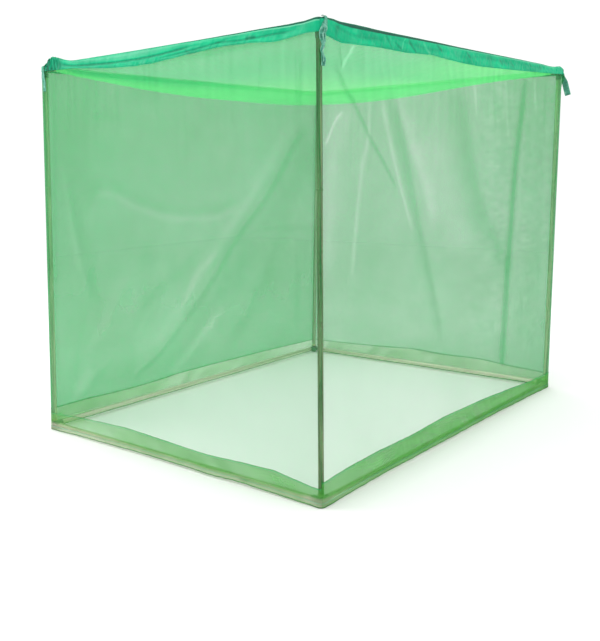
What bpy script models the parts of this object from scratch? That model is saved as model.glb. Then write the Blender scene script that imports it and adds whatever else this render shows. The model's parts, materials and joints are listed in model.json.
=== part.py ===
"""Box-shaped mosquito net canopy on a free-standing frame of push-fit steel poles.

Metres, +Z up. The canopy stands on Z = 0, with the middle of its outline on the Z axis.
The foot wall faces -Y, the head wall +Y, the right side wall +X and the left side wall -X.
Its four corners are called left, near, right and back, in the order that a path round the
outside takes them, anticlockwise seen from above.
"""
import math

import bmesh
import bpy
import numpy as np
from mathutils import Vector

# ---------------------------------------------------------------- driving dimensions
FOOT_WIDTH = 1.450        # between the post axes, across the foot
SIDE_LENGTH = 1.850       # between the post axes, along a side
NET_HEIGHT = 1.530        # from the floor to the top edge of the net
TUBE_RADIUS = 0.0095      # 19 mm steel tube
POST_JOINT = 1.042        # height at which the upper post section begins
POST_STOP = 0.910         # height of the faint ring that stops the inner tube
SHEET = 0.0015            # thickness of every cloth solid
PIECE_GAP = 0.0003        # between hard pieces that butt
LEAN_GAP = 0.0008         # between an upright foot and the leaning post on it
SEAM_GAP = 0.0006         # between cloth pieces that are sewn edge to edge
MERGE = 0.0001            # points closer than this on a turned piece's axis are one
ROOF_SAG = 0.141          # how far the roof hangs below its edges
PEAK_HEIGHT = 0.012       # how far the near corner of the net is drawn up by its tie
PEAK_REACH = 0.100

# The frame leans: how far each post's top stands out of plumb.
CORNERS = {
    #          side_x side_y lean_x lean_y
    "left":  (-1, -1, 0.030, 0.055),
    "near":  (+1, -1, 0.020, -0.004),
    "right": (+1, +1, 0.015, 0.000),
    "back":  (-1, +1, 0.015, 0.055),
}
ROUND_TRIP = ("left", "near", "right", "back")

# ---------------------------------------------------------------- frame sizes
HUB_RADIUS = 0.0120
SOCKET_RADIUS = 0.0115
SOCKET_REACH = 0.036      # from a fitting's centre to the face that a tube butts on
LOW_RAIL = 0.022          # height of the bottom rails' axes
FOOT_HUB_HEIGHT = 0.036
FOOT_HUB_EDGE = 0.0015    # chamfer round the foot and the hub's shoulder
COLLAR_HEIGHT = 0.009
COLLAR_RADIUS = 0.0105
RING_HEIGHT = 0.008       # bead pressed into a post
RING_SWELL = 0.0012
STOP_SWELL = 0.0006
CLOTH_CLEAR = 0.0022      # between the frame and the cloth round it
CLOTH_OUT = HUB_RADIUS + CLOTH_CLEAR + SHEET / 2
HIGH_RAIL = NET_HEIGHT - CLOTH_OUT - SHEET / 2

# ---------------------------------------------------------------- mesh fineness
TUBE_SIDES = 16
COLUMN_STEP = 0.056       # width of a facet along a wall
WALL_ROWS = 8
CORNER_STEPS = 2          # facets in each eighth of a turn round a post
ROOF_CELLS = (14, 16)     # across the width, along the length
ROLL_STEPS = 2            # facets in the quarter turn over a rail
EIGHTH_TURN = math.pi / 4

# ---------------------------------------------------------------- cloth tables
# Lower edge of the satin top band: share of the way along the wall, drop in metres.
BAND_DROP = {
    "foot_wall": ((0.00, 0.028), (0.14, 0.033), (0.30, 0.052), (0.41, 0.059), (0.48, 0.058),
                  (0.59, 0.047), (0.72, 0.037), (0.82, 0.039), (0.89, 0.047), (0.98, 0.034)),
    "right_wall": ((0.01, 0.043), (0.04, 0.059), (0.16, 0.052), (0.25, 0.054), (0.34, 0.046),
                   (0.45, 0.055), (0.54, 0.057), (0.69, 0.049), (0.90, 0.035), (0.99, 0.029)),
    "head_wall": ((0.00, 0.030), (0.12, 0.026), (0.40, 0.024), (0.63, 0.027), (0.86, 0.025),
                  (1.00, 0.029)),
    "left_wall": ((0.00, 0.029), (0.12, 0.025), (0.33, 0.027), (0.52, 0.024), (0.76, 0.026),
                  (1.00, 0.028)),
}
# Upper edge of the border at the hem: share of the way along the wall, height in metres.
BORDER_HEIGHT = {
    "foot_wall": ((0.00, 0.076), (0.14, 0.089), (0.34, 0.094), (0.58, 0.072), (0.87, 0.081),
                  (0.98, 0.064)),
    "right_wall": ((0.00, 0.090), (0.06, 0.097), (0.20, 0.091), (0.35, 0.083), (0.59, 0.095),
                   (0.87, 0.068), (1.00, 0.074)),
    "head_wall": ((0.00, 0.070), (0.25, 0.088), (0.55, 0.094), (0.80, 0.080), (1.00, 0.072)),
    "left_wall": ((0.00, 0.072), (0.22, 0.084), (0.48, 0.092), (0.74, 0.083), (1.00, 0.090)),
}
# Main folds of a wall, each a soft ridge along a slanting line.
FOLD_COLUMNS = ("top_along", "top_height", "low_along", "low_height", "width", "depth")
FOLDS = {
    "foot_wall": ((0.93, 1.15, 0.50, 0.35, 0.085, 0.016), (0.40, 1.20, 0.22, 0.30, 0.110, 0.010),
                  (0.72, 0.55, 0.66, 0.05, 0.090, 0.009)),
    "right_wall": ((0.05, 1.38, 0.24, 0.90, 0.070, 0.014), (0.20, 1.32, 0.37, 0.40, 0.090, 0.015),
                   (0.44, 1.34, 0.62, 0.66, 0.100, 0.018), (0.76, 1.42, 0.71, 0.20, 0.060, 0.016)),
    "head_wall": ((0.13, 1.36, 0.24, 0.10, 0.095, 0.017), (0.38, 1.40, 0.31, 0.15, 0.100, 0.015),
                  (0.65, 1.38, 0.53, 0.10, 0.100, 0.018), (0.90, 1.40, 0.83, 0.30, 0.070, 0.013)),
    "left_wall": ((0.06, 1.20, 0.55, 0.15, 0.095, 0.015), (0.30, 1.30, 0.72, 0.50, 0.110, 0.012),
                  (0.84, 0.90, 0.90, 0.10, 0.090, 0.011)),
}
FOLD_FADE = 0.16          # height over which a fold dies out past its ends
POST_FADE = 0.10          # distance from a post over which the cloth is drawn flat

# The roof hangs unevenly: powers that shape the sag, across the width and along the length.
SAG_POWER = (2.04, 2.94)
SAG_SKEW = (0.827, 0.854)

# Tie tapes, carried down the outside of each corner: distance below the net's top edge,
# sideways, out from the post's axis, width, and twist in degrees about the vertical.
TAPE_COLUMNS = ("drop", "side", "out", "width", "twist")
TAPES = {
    "tie_near_loop": ("near", (
        (-0.0140, 0.0113, -0.0113, 0.012, -45), (-0.0125, 0.0170, -0.0049, 0.013, -45),
        (-0.0060, 0.0202, 0.0025, 0.013, -45), (0.0034, 0.0202, 0.0060, 0.014, -42),
        (0.0148, 0.0161, 0.0105, 0.020, -35), (0.0262, 0.0133, 0.0134, 0.024, -30),
        (0.0376, 0.0025, 0.0192, 0.008, -10), (0.0520, 0.0060, 0.0188, 0.007, -20),
        (0.0633, 0.0125, 0.0150, 0.007, -30), (0.0775, 0.0105, 0.0165, 0.008, -25),
        (0.0975, 0.0120, 0.0155, 0.009, -30), (0.1146, 0.0145, 0.0140, 0.009, -35),
        (0.1317, 0.0145, 0.0140, 0.0085, -40))),
    "tie_near_end": ("near", (
        (0.0234, 0.0210, 0.0135, 0.0070, -30), (0.0376, 0.0165, 0.0155, 0.0070, -20),
        (0.0520, 0.0185, 0.0135, 0.0065, -30), (0.0647, 0.0195, 0.0140, 0.0060, -30),
        (0.0761, 0.0205, 0.0120, 0.0055, -35), (0.0860, 0.0210, 0.0125, 0.0055, -30),
        (0.0946, 0.0215, 0.0135, 0.0055, -25))),
    "tie_left_wrap": ("left", (
        (-0.003, 0.0382, -0.0325, 0.012, 30), (-0.0015, 0.0336, -0.0145, 0.013, 10),
        (0.010, 0.0279, 0.0025, 0.013, -15), (0.027, 0.0196, 0.0069, 0.013, -40),
        (0.041, 0.0175, 0.0090, 0.013, -48), (0.054, 0.0168, 0.0097, 0.012, -45))),
    "tie_left_end": ("left", (
        (0.029, 0.0263, 0.0065, 0.014, -45), (0.042, 0.0267, 0.0054, 0.018, -42),
        (0.059, 0.0262, 0.0049, 0.019, -48), (0.080, 0.0249, 0.0023, 0.019, -42),
        (0.108, 0.0255, 0.0014, 0.018, -48))),
    "tie_right_wrap": ("right", (
        (-0.0030, 0.000, 0.0000, 0.016, 0), (-0.0005, 0.000, 0.0120, 0.020, 0),
        (0.0090, 0.000, 0.0182, 0.024, 0), (0.0220, 0.000, 0.0185, 0.025, 0),
        (0.0360, 0.000, 0.0180, 0.022, 0))),
    "tie_right_end": ("right", (
        (0.026, 0.000, 0.0215, 0.018, 0), (0.042, 0.000, 0.0250, 0.022, -25),
        (0.062, 0.000, 0.0320, 0.026, -55), (0.092, 0.000, 0.0410, 0.027, -68),
        (0.121, 0.000, 0.0500, 0.027, -70))),
    "tie_back_wrap": ("back", (
        (-0.0030, 0.000, 0.0000, 0.016, 0), (-0.0005, 0.000, 0.0120, 0.018, 0),
        (0.0090, 0.000, 0.0182, 0.018, 0), (0.0240, 0.001, 0.0185, 0.018, 0),
        (0.0420, 0.003, 0.0180, 0.018, 0))),
    "tie_back_end": ("back", (
        (0.026, -0.002, 0.0215, 0.014, 0), (0.044, -0.003, 0.0225, 0.018, -8),
        (0.066, -0.004, 0.0220, 0.020, -12), (0.096, -0.004, 0.0215, 0.020, -9))),
}

# ---------------------------------------------------------------- finishes
FINISHES = {
    #            colour (sRGB hex) roughness metallic
    "steel":    ("A7A99B", 0.32, 1.0),
    "fitting":  ("6E7468", 0.45, 0.0),
    "collar":   ("C9C39A", 0.50, 0.0),
    "net":      ("8FDDA6", 0.70, 0.0),
    "band":     ("2FC98F", 0.35, 0.0),
    "border":   ("74C07A", 0.65, 0.0),
    "tie":      ("4AA383", 0.35, 0.0),
}


# ---------------------------------------------------------------- scene helpers
def clear_scene():
    for thing in list(bpy.data.objects):
        bpy.data.objects.remove(thing, do_unlink=True)


def new_collection(name):
    collection = bpy.data.collections.new(name)
    bpy.context.scene.collection.children.link(collection)
    return collection


def linear(hex_colour):
    """Linear RGBA of an sRGB hex colour."""
    channels = [int(hex_colour[i:i + 2], 16) / 255 for i in (0, 2, 4)]
    return [c / 12.92 if c <= 0.04045 else ((c + 0.055) / 1.055) ** 2.4 for c in channels] + [1.0]


def finish(name):
    """The Principled material of one finish, made once."""
    if name in bpy.data.materials:
        return bpy.data.materials[name]
    colour, roughness, metallic = FINISHES[name]
    material = bpy.data.materials.new(name)
    material.use_nodes = True
    shader = material.node_tree.nodes["Principled BSDF"]
    shader.inputs["Base Color"].default_value = linear(colour)
    shader.inputs["Roughness"].default_value = roughness
    shader.inputs["Metallic"].default_value = metallic
    return material


def add_object(name, data, collection, finish_name=None):
    thing = bpy.data.objects.new(name, data)
    if finish_name:
        data.materials.append(finish(finish_name))
    collection.objects.link(thing)
    return thing


def aim(thing, start, direction):
    """Puts an object's origin at start and turns its +Z along direction."""
    thing.location = start
    thing.rotation_euler = Vector(direction).to_track_quat("Z", "Y").to_euler()


# ---------------------------------------------------------------- where the frame stands
LEAN_X = [row[2] for row in CORNERS.values()]
LEAN_Y = [row[3] for row in CORNERS.values()]
CENTRE = np.array([max(LEAN_X) / 2, max(LEAN_Y) / 2])


def post_axis(corner, height):
    """Points on a post's leaning axis at the given heights, as an array of XYZ."""
    side_x, side_y, lean_x, lean_y = CORNERS[corner]
    height = np.asarray(height, dtype=float)
    share = (height - LOW_RAIL) / (HIGH_RAIL - LOW_RAIL)
    x = side_x * FOOT_WIDTH / 2 - CENTRE[0] + lean_x * share
    y = side_y * SIDE_LENGTH / 2 - CENTRE[1] + lean_y * share
    return np.stack([x, y, height], axis=-1)


def unit(vector):
    return vector / np.linalg.norm(vector)


def neighbours(corner):
    place = ROUND_TRIP.index(corner)
    return ROUND_TRIP[place - 1], ROUND_TRIP[(place + 1) % len(ROUND_TRIP)]


# ---------------------------------------------------------------- frame pieces
def turned(name, profile, start, direction, finish_name, collection):
    """A solid turned about its own Z, from (radius, height) pairs that run top to bottom."""
    mesh = bpy.data.meshes.new(name)
    vertices = [(radius, 0.0, height) for radius, height in profile]
    edges = [(i, i + 1) for i in range(len(vertices) - 1)]
    mesh.from_pydata(vertices, edges, [])
    thing = add_object(name, mesh, collection, finish_name)
    screw = thing.modifiers.new("turn", "SCREW")
    screw.steps = screw.render_steps = TUBE_SIDES
    screw.use_merge_vertices = True
    screw.merge_threshold = MERGE
    aim(thing, start, direction)
    return thing


def rod_profile(radius, length):
    return [(0.0, length), (radius, length), (radius, 0.0), (0.0, 0.0)]


def ring_profile(height, swell):
    """The bead of a pressed ring, from above it to below it."""
    half = RING_HEIGHT / 2
    return [(TUBE_RADIUS, height + half), (TUBE_RADIUS + swell, height + half / 2),
            (TUBE_RADIUS + swell, height - half / 2), (TUBE_RADIUS, height - half)]


def rail(name, start, end, collection):
    """A straight tube from socket to socket, as a bevelled curve with filled caps."""
    curve = bpy.data.curves.new(name, "CURVE")
    curve.dimensions = "3D"
    curve.bevel_depth = TUBE_RADIUS
    curve.bevel_resolution = (TUBE_SIDES - 4) // 2   # a resolution of n gives 2n + 4 sides
    curve.use_fill_caps = True
    spline = curve.splines.new("POLY")
    spline.points.add(1)
    away = unit(end - start)
    inset = SOCKET_REACH + PIECE_GAP
    spline.points[0].co = (*(start + away * inset), 1.0)
    spline.points[1].co = (*(end - away * inset), 1.0)
    add_object(name, curve, collection, "steel")


def add_sockets(hub, centre, directions, cutters):
    """Joins a socket towards each tube to a hub, so that they are one solid."""
    for number, direction in enumerate(directions):
        socket = turned(f"{hub.name}_socket_{number}", rod_profile(SOCKET_RADIUS, SOCKET_REACH),
                        centre, direction, "fitting", cutters)
        socket.hide_render = True
        socket.display_type = "WIRE"
        join = hub.modifiers.new("join", "BOOLEAN")
        join.operation = "UNION"
        join.object = socket


def ball(name, centre, collection):
    mesh = bpy.data.meshes.new(name)
    shape = bmesh.new()
    bmesh.ops.create_uvsphere(shape, u_segments=TUBE_SIDES, v_segments=TUBE_SIDES // 2,
                              radius=HUB_RADIUS)
    shape.to_mesh(mesh)
    shape.free()
    thing = add_object(name, mesh, collection, "fitting")
    thing.location = centre
    return thing


def build_post(corner, collection):
    """Collar, lower section with its two rings, and upper section, up a leaning axis."""
    start = post_axis(corner, FOOT_HUB_HEIGHT + LEAN_GAP)
    up = unit(post_axis(corner, HIGH_RAIL) - start)
    turned(f"collar_{corner}", rod_profile(COLLAR_RADIUS, COLLAR_HEIGHT), start, up,
           "collar", collection)
    lower = start + up * (COLLAR_HEIGHT + PIECE_GAP)
    length = (POST_JOINT - lower[2]) / up[2]
    profile = [(0.0, length), (TUBE_RADIUS, length)]
    profile += ring_profile(length - RING_HEIGHT, RING_SWELL)
    profile += ring_profile(length - (POST_JOINT - POST_STOP), STOP_SWELL)
    profile += [(TUBE_RADIUS, 0.0), (0.0, 0.0)]
    turned(f"post_{corner}_lower", profile, lower, up, "steel", collection)
    upper = lower + up * (length + PIECE_GAP)
    reach = np.linalg.norm(post_axis(corner, HIGH_RAIL) - upper) - SOCKET_REACH - PIECE_GAP
    turned(f"post_{corner}_upper", rod_profile(TUBE_RADIUS, reach), upper, up, "steel", collection)


def build_fittings(corner, collection, cutters):
    low, high = post_axis(corner, LOW_RAIL), post_axis(corner, HIGH_RAIL)
    inner = HUB_RADIUS - FOOT_HUB_EDGE
    profile = [(0.0, FOOT_HUB_HEIGHT), (inner, FOOT_HUB_HEIGHT),
               (HUB_RADIUS, FOOT_HUB_HEIGHT - FOOT_HUB_EDGE), (HUB_RADIUS, FOOT_HUB_EDGE),
               (inner, 0.0), (0.0, 0.0)]
    foot = turned(f"foot_{corner}", profile, (low[0], low[1], 0.0), (0, 0, 1), "fitting",
                  collection)
    sideways = [unit(post_axis(other, LOW_RAIL) - low) for other in neighbours(corner)]
    add_sockets(foot, low, sideways, cutters)
    elbow = ball(f"elbow_{corner}", high, collection)
    away = [unit(post_axis(other, HIGH_RAIL) - high) for other in neighbours(corner)]
    add_sockets(elbow, high, away + [unit(low - high)], cutters)


# ---------------------------------------------------------------- cloth surfaces
WALLS = {
    "foot_wall": ("left", "near", (0.0, -1.0)),
    "right_wall": ("near", "right", (1.0, 0.0)),
    "head_wall": ("right", "back", (0.0, 1.0)),
    "left_wall": ("back", "left", (-1.0, 0.0)),
}


def wall_length(wall):
    return FOOT_WIDTH if wall in ("foot_wall", "head_wall") else SIDE_LENGTH


def smooth(value):
    value = np.clip(value, 0.0, 1.0)
    return value * value * (3 - 2 * value)


def fold_out(wall, along, height):
    """How far the folds stand out: a sum of Gaussian ridges along slanting lines, each
    faded past its two ends and flattened towards the posts."""
    length = wall_length(wall)
    total = np.zeros(np.broadcast(along, height).shape)
    for row in FOLDS[wall]:
        fold = dict(zip(FOLD_COLUMNS, row))
        rise = fold["top_height"] - fold["low_height"]
        share = (height - fold["low_height"]) / rise
        line = fold["low_along"] + (fold["top_along"] - fold["low_along"]) * share
        across = (along - line) * length / fold["width"]
        ends = smooth((fold["top_height"] + FOLD_FADE - height) / FOLD_FADE)
        ends = ends * smooth((height - fold["low_height"] + FOLD_FADE) / FOLD_FADE)
        total += fold["depth"] * np.exp(-across ** 2) * ends
    to_post = np.minimum(along, 1 - along) * length
    under_band = smooth((HIGH_RAIL - height) / FOLD_FADE)
    return total * smooth(to_post / POST_FADE) * under_band


def peak(distance):
    """How far the cloth is drawn up, by its distance in plan from the near corner."""
    return PEAK_HEIGHT * np.clip(1 - distance / PEAK_REACH, 0.0, 1.0) ** 2


def from_near_corner(wall, along):
    """Distance along a wall from the near corner; endless on a wall that doesn't meet it."""
    first, last, _ = WALLS[wall]
    if first == "near":
        return along * wall_length(wall)
    if last == "near":
        return (1 - along) * wall_length(wall)
    return np.full_like(along, np.inf)


def wall_columns(wall):
    """Places along a wall, and the turn round the post at each end of it, in radians."""
    edge = EIGHTH_TURN - SEAM_GAP / 2 / CLOTH_OUT
    turn = np.linspace(edge, 0.0, CORNER_STEPS + 1)[:-1]
    count = round(wall_length(wall) / COLUMN_STEP)
    along = np.linspace(0.0, 1.0, count + 1)
    still = np.zeros(len(turn))
    return (np.concatenate([still, along, still + 1.0]),
            np.concatenate([-turn, np.zeros(count + 1), turn[::-1]]))


def wall_points(wall, along, turn, height):
    """The cloth's middle surface: from the line between two posts, out by CLOTH_OUT along
    the wall's normal turned by turn, then out by the folds."""
    first, last, normal = WALLS[wall]
    share = along[..., None]
    line = (1 - share) * post_axis(first, height) + share * post_axis(last, height)
    cos, sin = np.cos(turn), np.sin(turn)
    out = np.stack([normal[0] * cos - normal[1] * sin, normal[0] * sin + normal[1] * cos,
                    np.zeros_like(turn)], axis=-1)
    straight = np.array([normal[0], normal[1], 0.0])
    return line + out * CLOTH_OUT + straight * fold_out(wall, along, height)[..., None]


def edge_height(table, along):
    places, values = zip(*table)
    return np.interp(along, places, values)


def sheet(name, points, finish_name, collection):
    """A grid of points as one sheet of cloth: quads, given their thickness by Solidify."""
    rows, columns = points.shape[:2]
    index = np.arange(rows * columns).reshape(rows, columns)
    quads = np.stack([index[:-1, :-1], index[:-1, 1:], index[1:, 1:], index[1:, :-1]], axis=-1)
    mesh = bpy.data.meshes.new(name)
    mesh.from_pydata(points.reshape(-1, 3).tolist(), [], quads.reshape(-1, 4).tolist())
    mesh.shade_smooth()
    thing = add_object(name, mesh, collection, finish_name)
    thickness = thing.modifiers.new("thickness", "SOLIDIFY")
    thickness.thickness = SHEET
    thickness.offset = 0.0
    thickness.use_even_offset = True
    return thing


def build_wall(wall, collection):
    """The net panel, with the band above it and the border below it, edge to edge."""
    along, turn = wall_columns(wall)
    band_low = NET_HEIGHT - edge_height(BAND_DROP[wall], along)
    border_top = edge_height(BORDER_HEIGHT[wall], along)
    band_top = HIGH_RAIL - SEAM_GAP + peak(from_near_corner(wall, along))
    bands = (
        (wall.replace("wall", "top_band"), band_low, band_top, 1, "band"),
        (wall, border_top + SEAM_GAP, band_low - SEAM_GAP, WALL_ROWS, "net"),
        (wall.replace("wall", "border"), np.zeros_like(along), border_top, 1, "border"),
    )
    for name, low, high, rows, finish_name in bands:
        share = np.linspace(0.0, 1.0, rows + 1)[:, None]
        height = low + (high - low) * share
        grid_along = np.broadcast_to(along, height.shape)
        grid_turn = np.broadcast_to(turn, height.shape)
        points = wall_points(wall, grid_along, grid_turn, height)
        sheet(name, points, finish_name, collection)


def roll_columns(cells):
    """Places across the roof, and the angle rolled over the rail at each edge."""
    roll = np.linspace(math.pi / 2, 0.0, ROLL_STEPS + 1)[:-1]
    inner = np.linspace(0.0, 1.0, cells + 1)
    still = np.zeros(len(roll))
    return (np.concatenate([still, inner, still + 1.0]),
            np.concatenate([-roll, np.zeros(cells + 1), roll[::-1]]))


def roof_points():
    """The roof: the four rails' corners joined bilinearly, less a sag that is a product of
    two humps, raised over the rails by CLOTH_OUT in the direction of the roll."""
    across, roll_x = roll_columns(ROOF_CELLS[0])
    length, roll_y = roll_columns(ROOF_CELLS[1])
    across, length = np.meshgrid(across, length, indexing="xy")
    roll_x, roll_y = np.meshgrid(roll_x, roll_y, indexing="xy")
    corner = {name: post_axis(name, HIGH_RAIL) for name in ROUND_TRIP}
    s, t = across[..., None], length[..., None]
    base = (1 - t) * ((1 - s) * corner["left"] + s * corner["near"])
    base = base + t * ((1 - s) * corner["back"] + s * corner["right"])
    hump_x = 1 - np.abs(2 * across ** SAG_SKEW[0] - 1) ** SAG_POWER[0]
    hump_y = 1 - np.abs(2 * length ** SAG_SKEW[1] - 1) ** SAG_POWER[1]
    base[..., 2] -= ROOF_SAG * hump_x * hump_y
    base[..., 2] += peak(np.hypot((1 - across) * FOOT_WIDTH, length * SIDE_LENGTH))
    # The roll over a corner: its tilt is the larger of the two, its bearing runs from one
    # wall's normal to the diagonal.
    big = np.maximum(np.abs(roll_x), np.abs(roll_y))
    small = np.minimum(np.abs(roll_x), np.abs(roll_y))
    bearing = EIGHTH_TURN * np.divide(small, big, out=np.zeros_like(big), where=big > 0)
    mostly_x = np.abs(roll_x) >= np.abs(roll_y)
    flat_x = np.where(mostly_x, np.cos(bearing), np.sin(bearing)) * np.sign(roll_x)
    flat_y = np.where(mostly_x, np.sin(bearing), np.cos(bearing)) * np.sign(roll_y)
    out = np.stack([np.sin(big) * flat_x, np.sin(big) * flat_y, np.cos(big)], axis=-1)
    return base + out * CLOTH_OUT


def tape(name, corner, rows, collection):
    """A flat tape down the outside of a corner: its width turns about the vertical and is
    square to the way that the tape runs."""
    table = {column: np.array(values) for column, values in zip(TAPE_COLUMNS, zip(*rows))}
    side_x, side_y = CORNERS[corner][:2]
    out = np.array([side_x, side_y, 0.0]) / math.sqrt(2)
    sideways = np.array([-out[1], out[0], 0.0])
    axis = post_axis(corner, NET_HEIGHT - table["drop"])
    middle = axis + out * table["out"][:, None] + sideways * table["side"][:, None]
    twist = np.radians(table["twist"])[:, None]
    level = sideways * np.cos(twist) + out * np.sin(twist)
    run = np.gradient(middle, axis=0)
    run /= np.linalg.norm(run, axis=1, keepdims=True)
    across = level - run * (level * run).sum(axis=1, keepdims=True)
    across /= np.linalg.norm(across, axis=1, keepdims=True)
    half = across * table["width"][:, None] / 2
    points = np.stack([middle - half, middle + half], axis=1)
    sheet(name, points[::-1], "tie", collection)


# ---------------------------------------------------------------- the canopy
def main():
    clear_scene()
    canopy = new_collection("mosquito_net_canopy")
    cutters = new_collection("cutters")
    for corner in ROUND_TRIP:
        build_fittings(corner, canopy, cutters)
        build_post(corner, canopy)
    for wall, (first, last, _) in WALLS.items():
        for level, height in (("low", LOW_RAIL), ("high", HIGH_RAIL)):
            name = wall.replace("wall", f"{level}_rail")
            rail(name, post_axis(first, height), post_axis(last, height), canopy)
        build_wall(wall, canopy)
    sheet("roof", roof_points(), "net", canopy)
    for name, (corner, rows) in TAPES.items():
        tape(name, corner, rows, canopy)


main()
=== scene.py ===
# %% [markdown]
# # Mosquito net canopy on a pole frame
# The real thing is a box of sheer knitted net: four walls and a roof, with a satin band
# round the top, a denser border at the hem and a tape at each corner that ties it to a
# frame of steel tube. A net like this is all see-through cloth, so what matters is how it
# hangs and how its layers add up. First the measured frame is loaded, and everything
# after it is placed from that frame.

# %% Load the frame
import json
import math

import bpy
import numpy as np
from mathutils import Matrix, Vector


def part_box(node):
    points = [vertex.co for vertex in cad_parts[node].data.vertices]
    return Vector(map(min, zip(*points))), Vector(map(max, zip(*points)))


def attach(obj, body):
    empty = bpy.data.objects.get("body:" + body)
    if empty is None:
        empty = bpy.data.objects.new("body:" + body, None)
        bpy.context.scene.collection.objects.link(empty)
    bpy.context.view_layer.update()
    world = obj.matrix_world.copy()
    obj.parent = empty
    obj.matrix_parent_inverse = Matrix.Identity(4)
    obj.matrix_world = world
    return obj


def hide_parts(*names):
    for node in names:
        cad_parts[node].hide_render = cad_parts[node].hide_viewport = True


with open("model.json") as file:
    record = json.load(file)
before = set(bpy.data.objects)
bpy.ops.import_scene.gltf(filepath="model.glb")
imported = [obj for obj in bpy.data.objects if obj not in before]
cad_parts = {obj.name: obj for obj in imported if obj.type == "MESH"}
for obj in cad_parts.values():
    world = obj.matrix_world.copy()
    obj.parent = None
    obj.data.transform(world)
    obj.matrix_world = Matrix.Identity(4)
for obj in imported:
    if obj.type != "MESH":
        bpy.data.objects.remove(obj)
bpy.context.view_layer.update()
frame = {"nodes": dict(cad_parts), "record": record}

# %% [markdown]
# ## Camera
# The camera stands where the photographer stood, a little outside the near corner and
# lower than the roof, so the roof's belly is seen from below. A camera can be placed by
# eye, or by two angles and a focal length that put the frame's eight corners on their
# pixels. The second is used, because every fold is then judged in its true place.

# %% Camera
PHOTO_WIDE, PHOTO_HIGH = 600, 641        # pixels
SENSOR = 36.0                            # mm, along the picture's longer side
FOCAL = 840.3                            # pixels
AXIS_ACROSS, AXIS_DOWN = 297.8, 316.2    # pixel that the lens axis meets
CAMERA_PLACE = Vector((2.2954, -3.0311, 1.1075))
HEADING, DIP, ROLL = 2.2474, 0.1774, -0.0186


def camera_turn(heading, dip, roll):
    """Forward follows the heading, dipped below level; right and up are rolled about it."""
    forward = Vector((math.cos(heading) * math.cos(dip), math.sin(heading) * math.cos(dip),
                      -math.sin(dip)))
    level = Vector((math.sin(heading), -math.cos(heading), 0.0))
    up = level.cross(forward)
    right = level * math.cos(roll) + up * math.sin(roll)
    top = up * math.cos(roll) - level * math.sin(roll)
    return Matrix((right, top, -forward)).transposed()


lens = bpy.data.cameras.new("camera")
lens.sensor_width = SENSOR
lens.lens = SENSOR * FOCAL / PHOTO_HIGH
lens.shift_x = (PHOTO_WIDE / 2 - AXIS_ACROSS) / PHOTO_HIGH
lens.shift_y = (AXIS_DOWN - PHOTO_HIGH / 2) / PHOTO_HIGH
camera = bpy.data.objects.new("camera", lens)
camera.matrix_world = Matrix.Translation(CAMERA_PLACE) @ camera_turn(HEADING, DIP, ROLL).to_4x4()
bpy.context.scene.collection.objects.link(camera)
bpy.context.scene.camera = camera
print("lens", round(lens.lens, 2), "mm, shift", round(lens.shift_x, 4), round(lens.shift_y, 4))

# %% [markdown]
# ## Where the frame stands
# The posts lean a little, as hand-assembled poles do, and the cloth follows them. Each
# post's axis is the line through the middle of its collar and the middle of its upper
# tube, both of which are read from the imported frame, so no place is typed in twice.

# %% Post axes
CORNERS = {"left": (-1, -1), "near": (1, -1), "right": (1, 1), "back": (-1, 1)}
WALLS = {
    #              first    last     normal
    "foot_wall": ("left", "near", (0.0, -1.0)),
    "right_wall": ("near", "right", (1.0, 0.0)),
    "head_wall": ("right", "back", (0.0, 1.0)),
    "left_wall": ("back", "left", (-1.0, 0.0)),
}
CLOTH_OUT = 0.01495       # from a post's axis to the middle of the cloth that wraps it


def middle(node):
    """The middle of a node's box."""
    low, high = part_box(node)
    return (np.array(low) + np.array(high)) / 2


AXES = {corner: (middle(f"collar_{corner}"), middle(f"post_{corner}_upper")) for corner in CORNERS}
HIGH_RAIL = middle("head_high_rail")[2]
LOW_RAIL = middle("head_low_rail")[2]
NET_TOP = HIGH_RAIL + CLOTH_OUT


def post_axis(corner, height):
    """Points on a post's axis: its line through two measured points, read at each height."""
    low, high = AXES[corner]
    share = (np.asarray(height, float) - low[2]) / (high[2] - low[2])
    return low + (high - low) * share[..., None]


def wall_length(wall):
    """From post to post at the high rails, in metres."""
    first, last, _ = WALLS[wall]
    return float(np.linalg.norm(post_axis(last, HIGH_RAIL) - post_axis(first, HIGH_RAIL)))


print("rails at", round(LOW_RAIL, 4), round(HIGH_RAIL, 4), "m; walls",
      {wall: round(wall_length(wall), 3) for wall in WALLS})

# %% [markdown]
# ## Soft steps and soft noise
# Cloth has no straight lines, only places where it turns faster or slower. Helpers give
# that: a step that eases in and out, hills of random height that always come out the same,
# because their lattice is drawn from a numbered seed, and two ways to run smoothly through
# a short table of measured places. A table is easier to correct than a formula.

# %% Soft steps and noise
LATTICE = 64


def smooth(value):
    """From 0 to 1 with no corner at either end: 6v^5 - 15v^4 + 10v^3 of the clipped value."""
    value = np.clip(value, 0.0, 1.0)
    return value ** 3 * (value * (value * 6 - 15) + 10)


def hills(x, y, seed):
    """Random heights from -1 to 1 at whole x and y, joined in between by smooth steps."""
    heights = np.random.default_rng(seed).uniform(-1, 1, (LATTICE, LATTICE))
    column, row = np.floor(x).astype(int), np.floor(y).astype(int)
    share_x, share_y = smooth(x - column), smooth(y - row)
    near, far = column % LATTICE, (column + 1) % LATTICE
    low, high = row % LATTICE, (row + 1) % LATTICE
    lower = heights[near, low] * (1 - share_x) + heights[far, low] * share_x
    upper = heights[near, high] * (1 - share_x) + heights[far, high] * share_x
    return lower * (1 - share_y) + upper * share_y


def read_table(table, at, reach):
    """Straight interpolation between a table's (place, value) rows, rounded by averaging
    three reads that lie reach apart."""
    places, values = zip(*table)
    return sum(np.interp(at + shift, places, values) for shift in (-reach, 0.0, reach)) / 3


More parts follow.
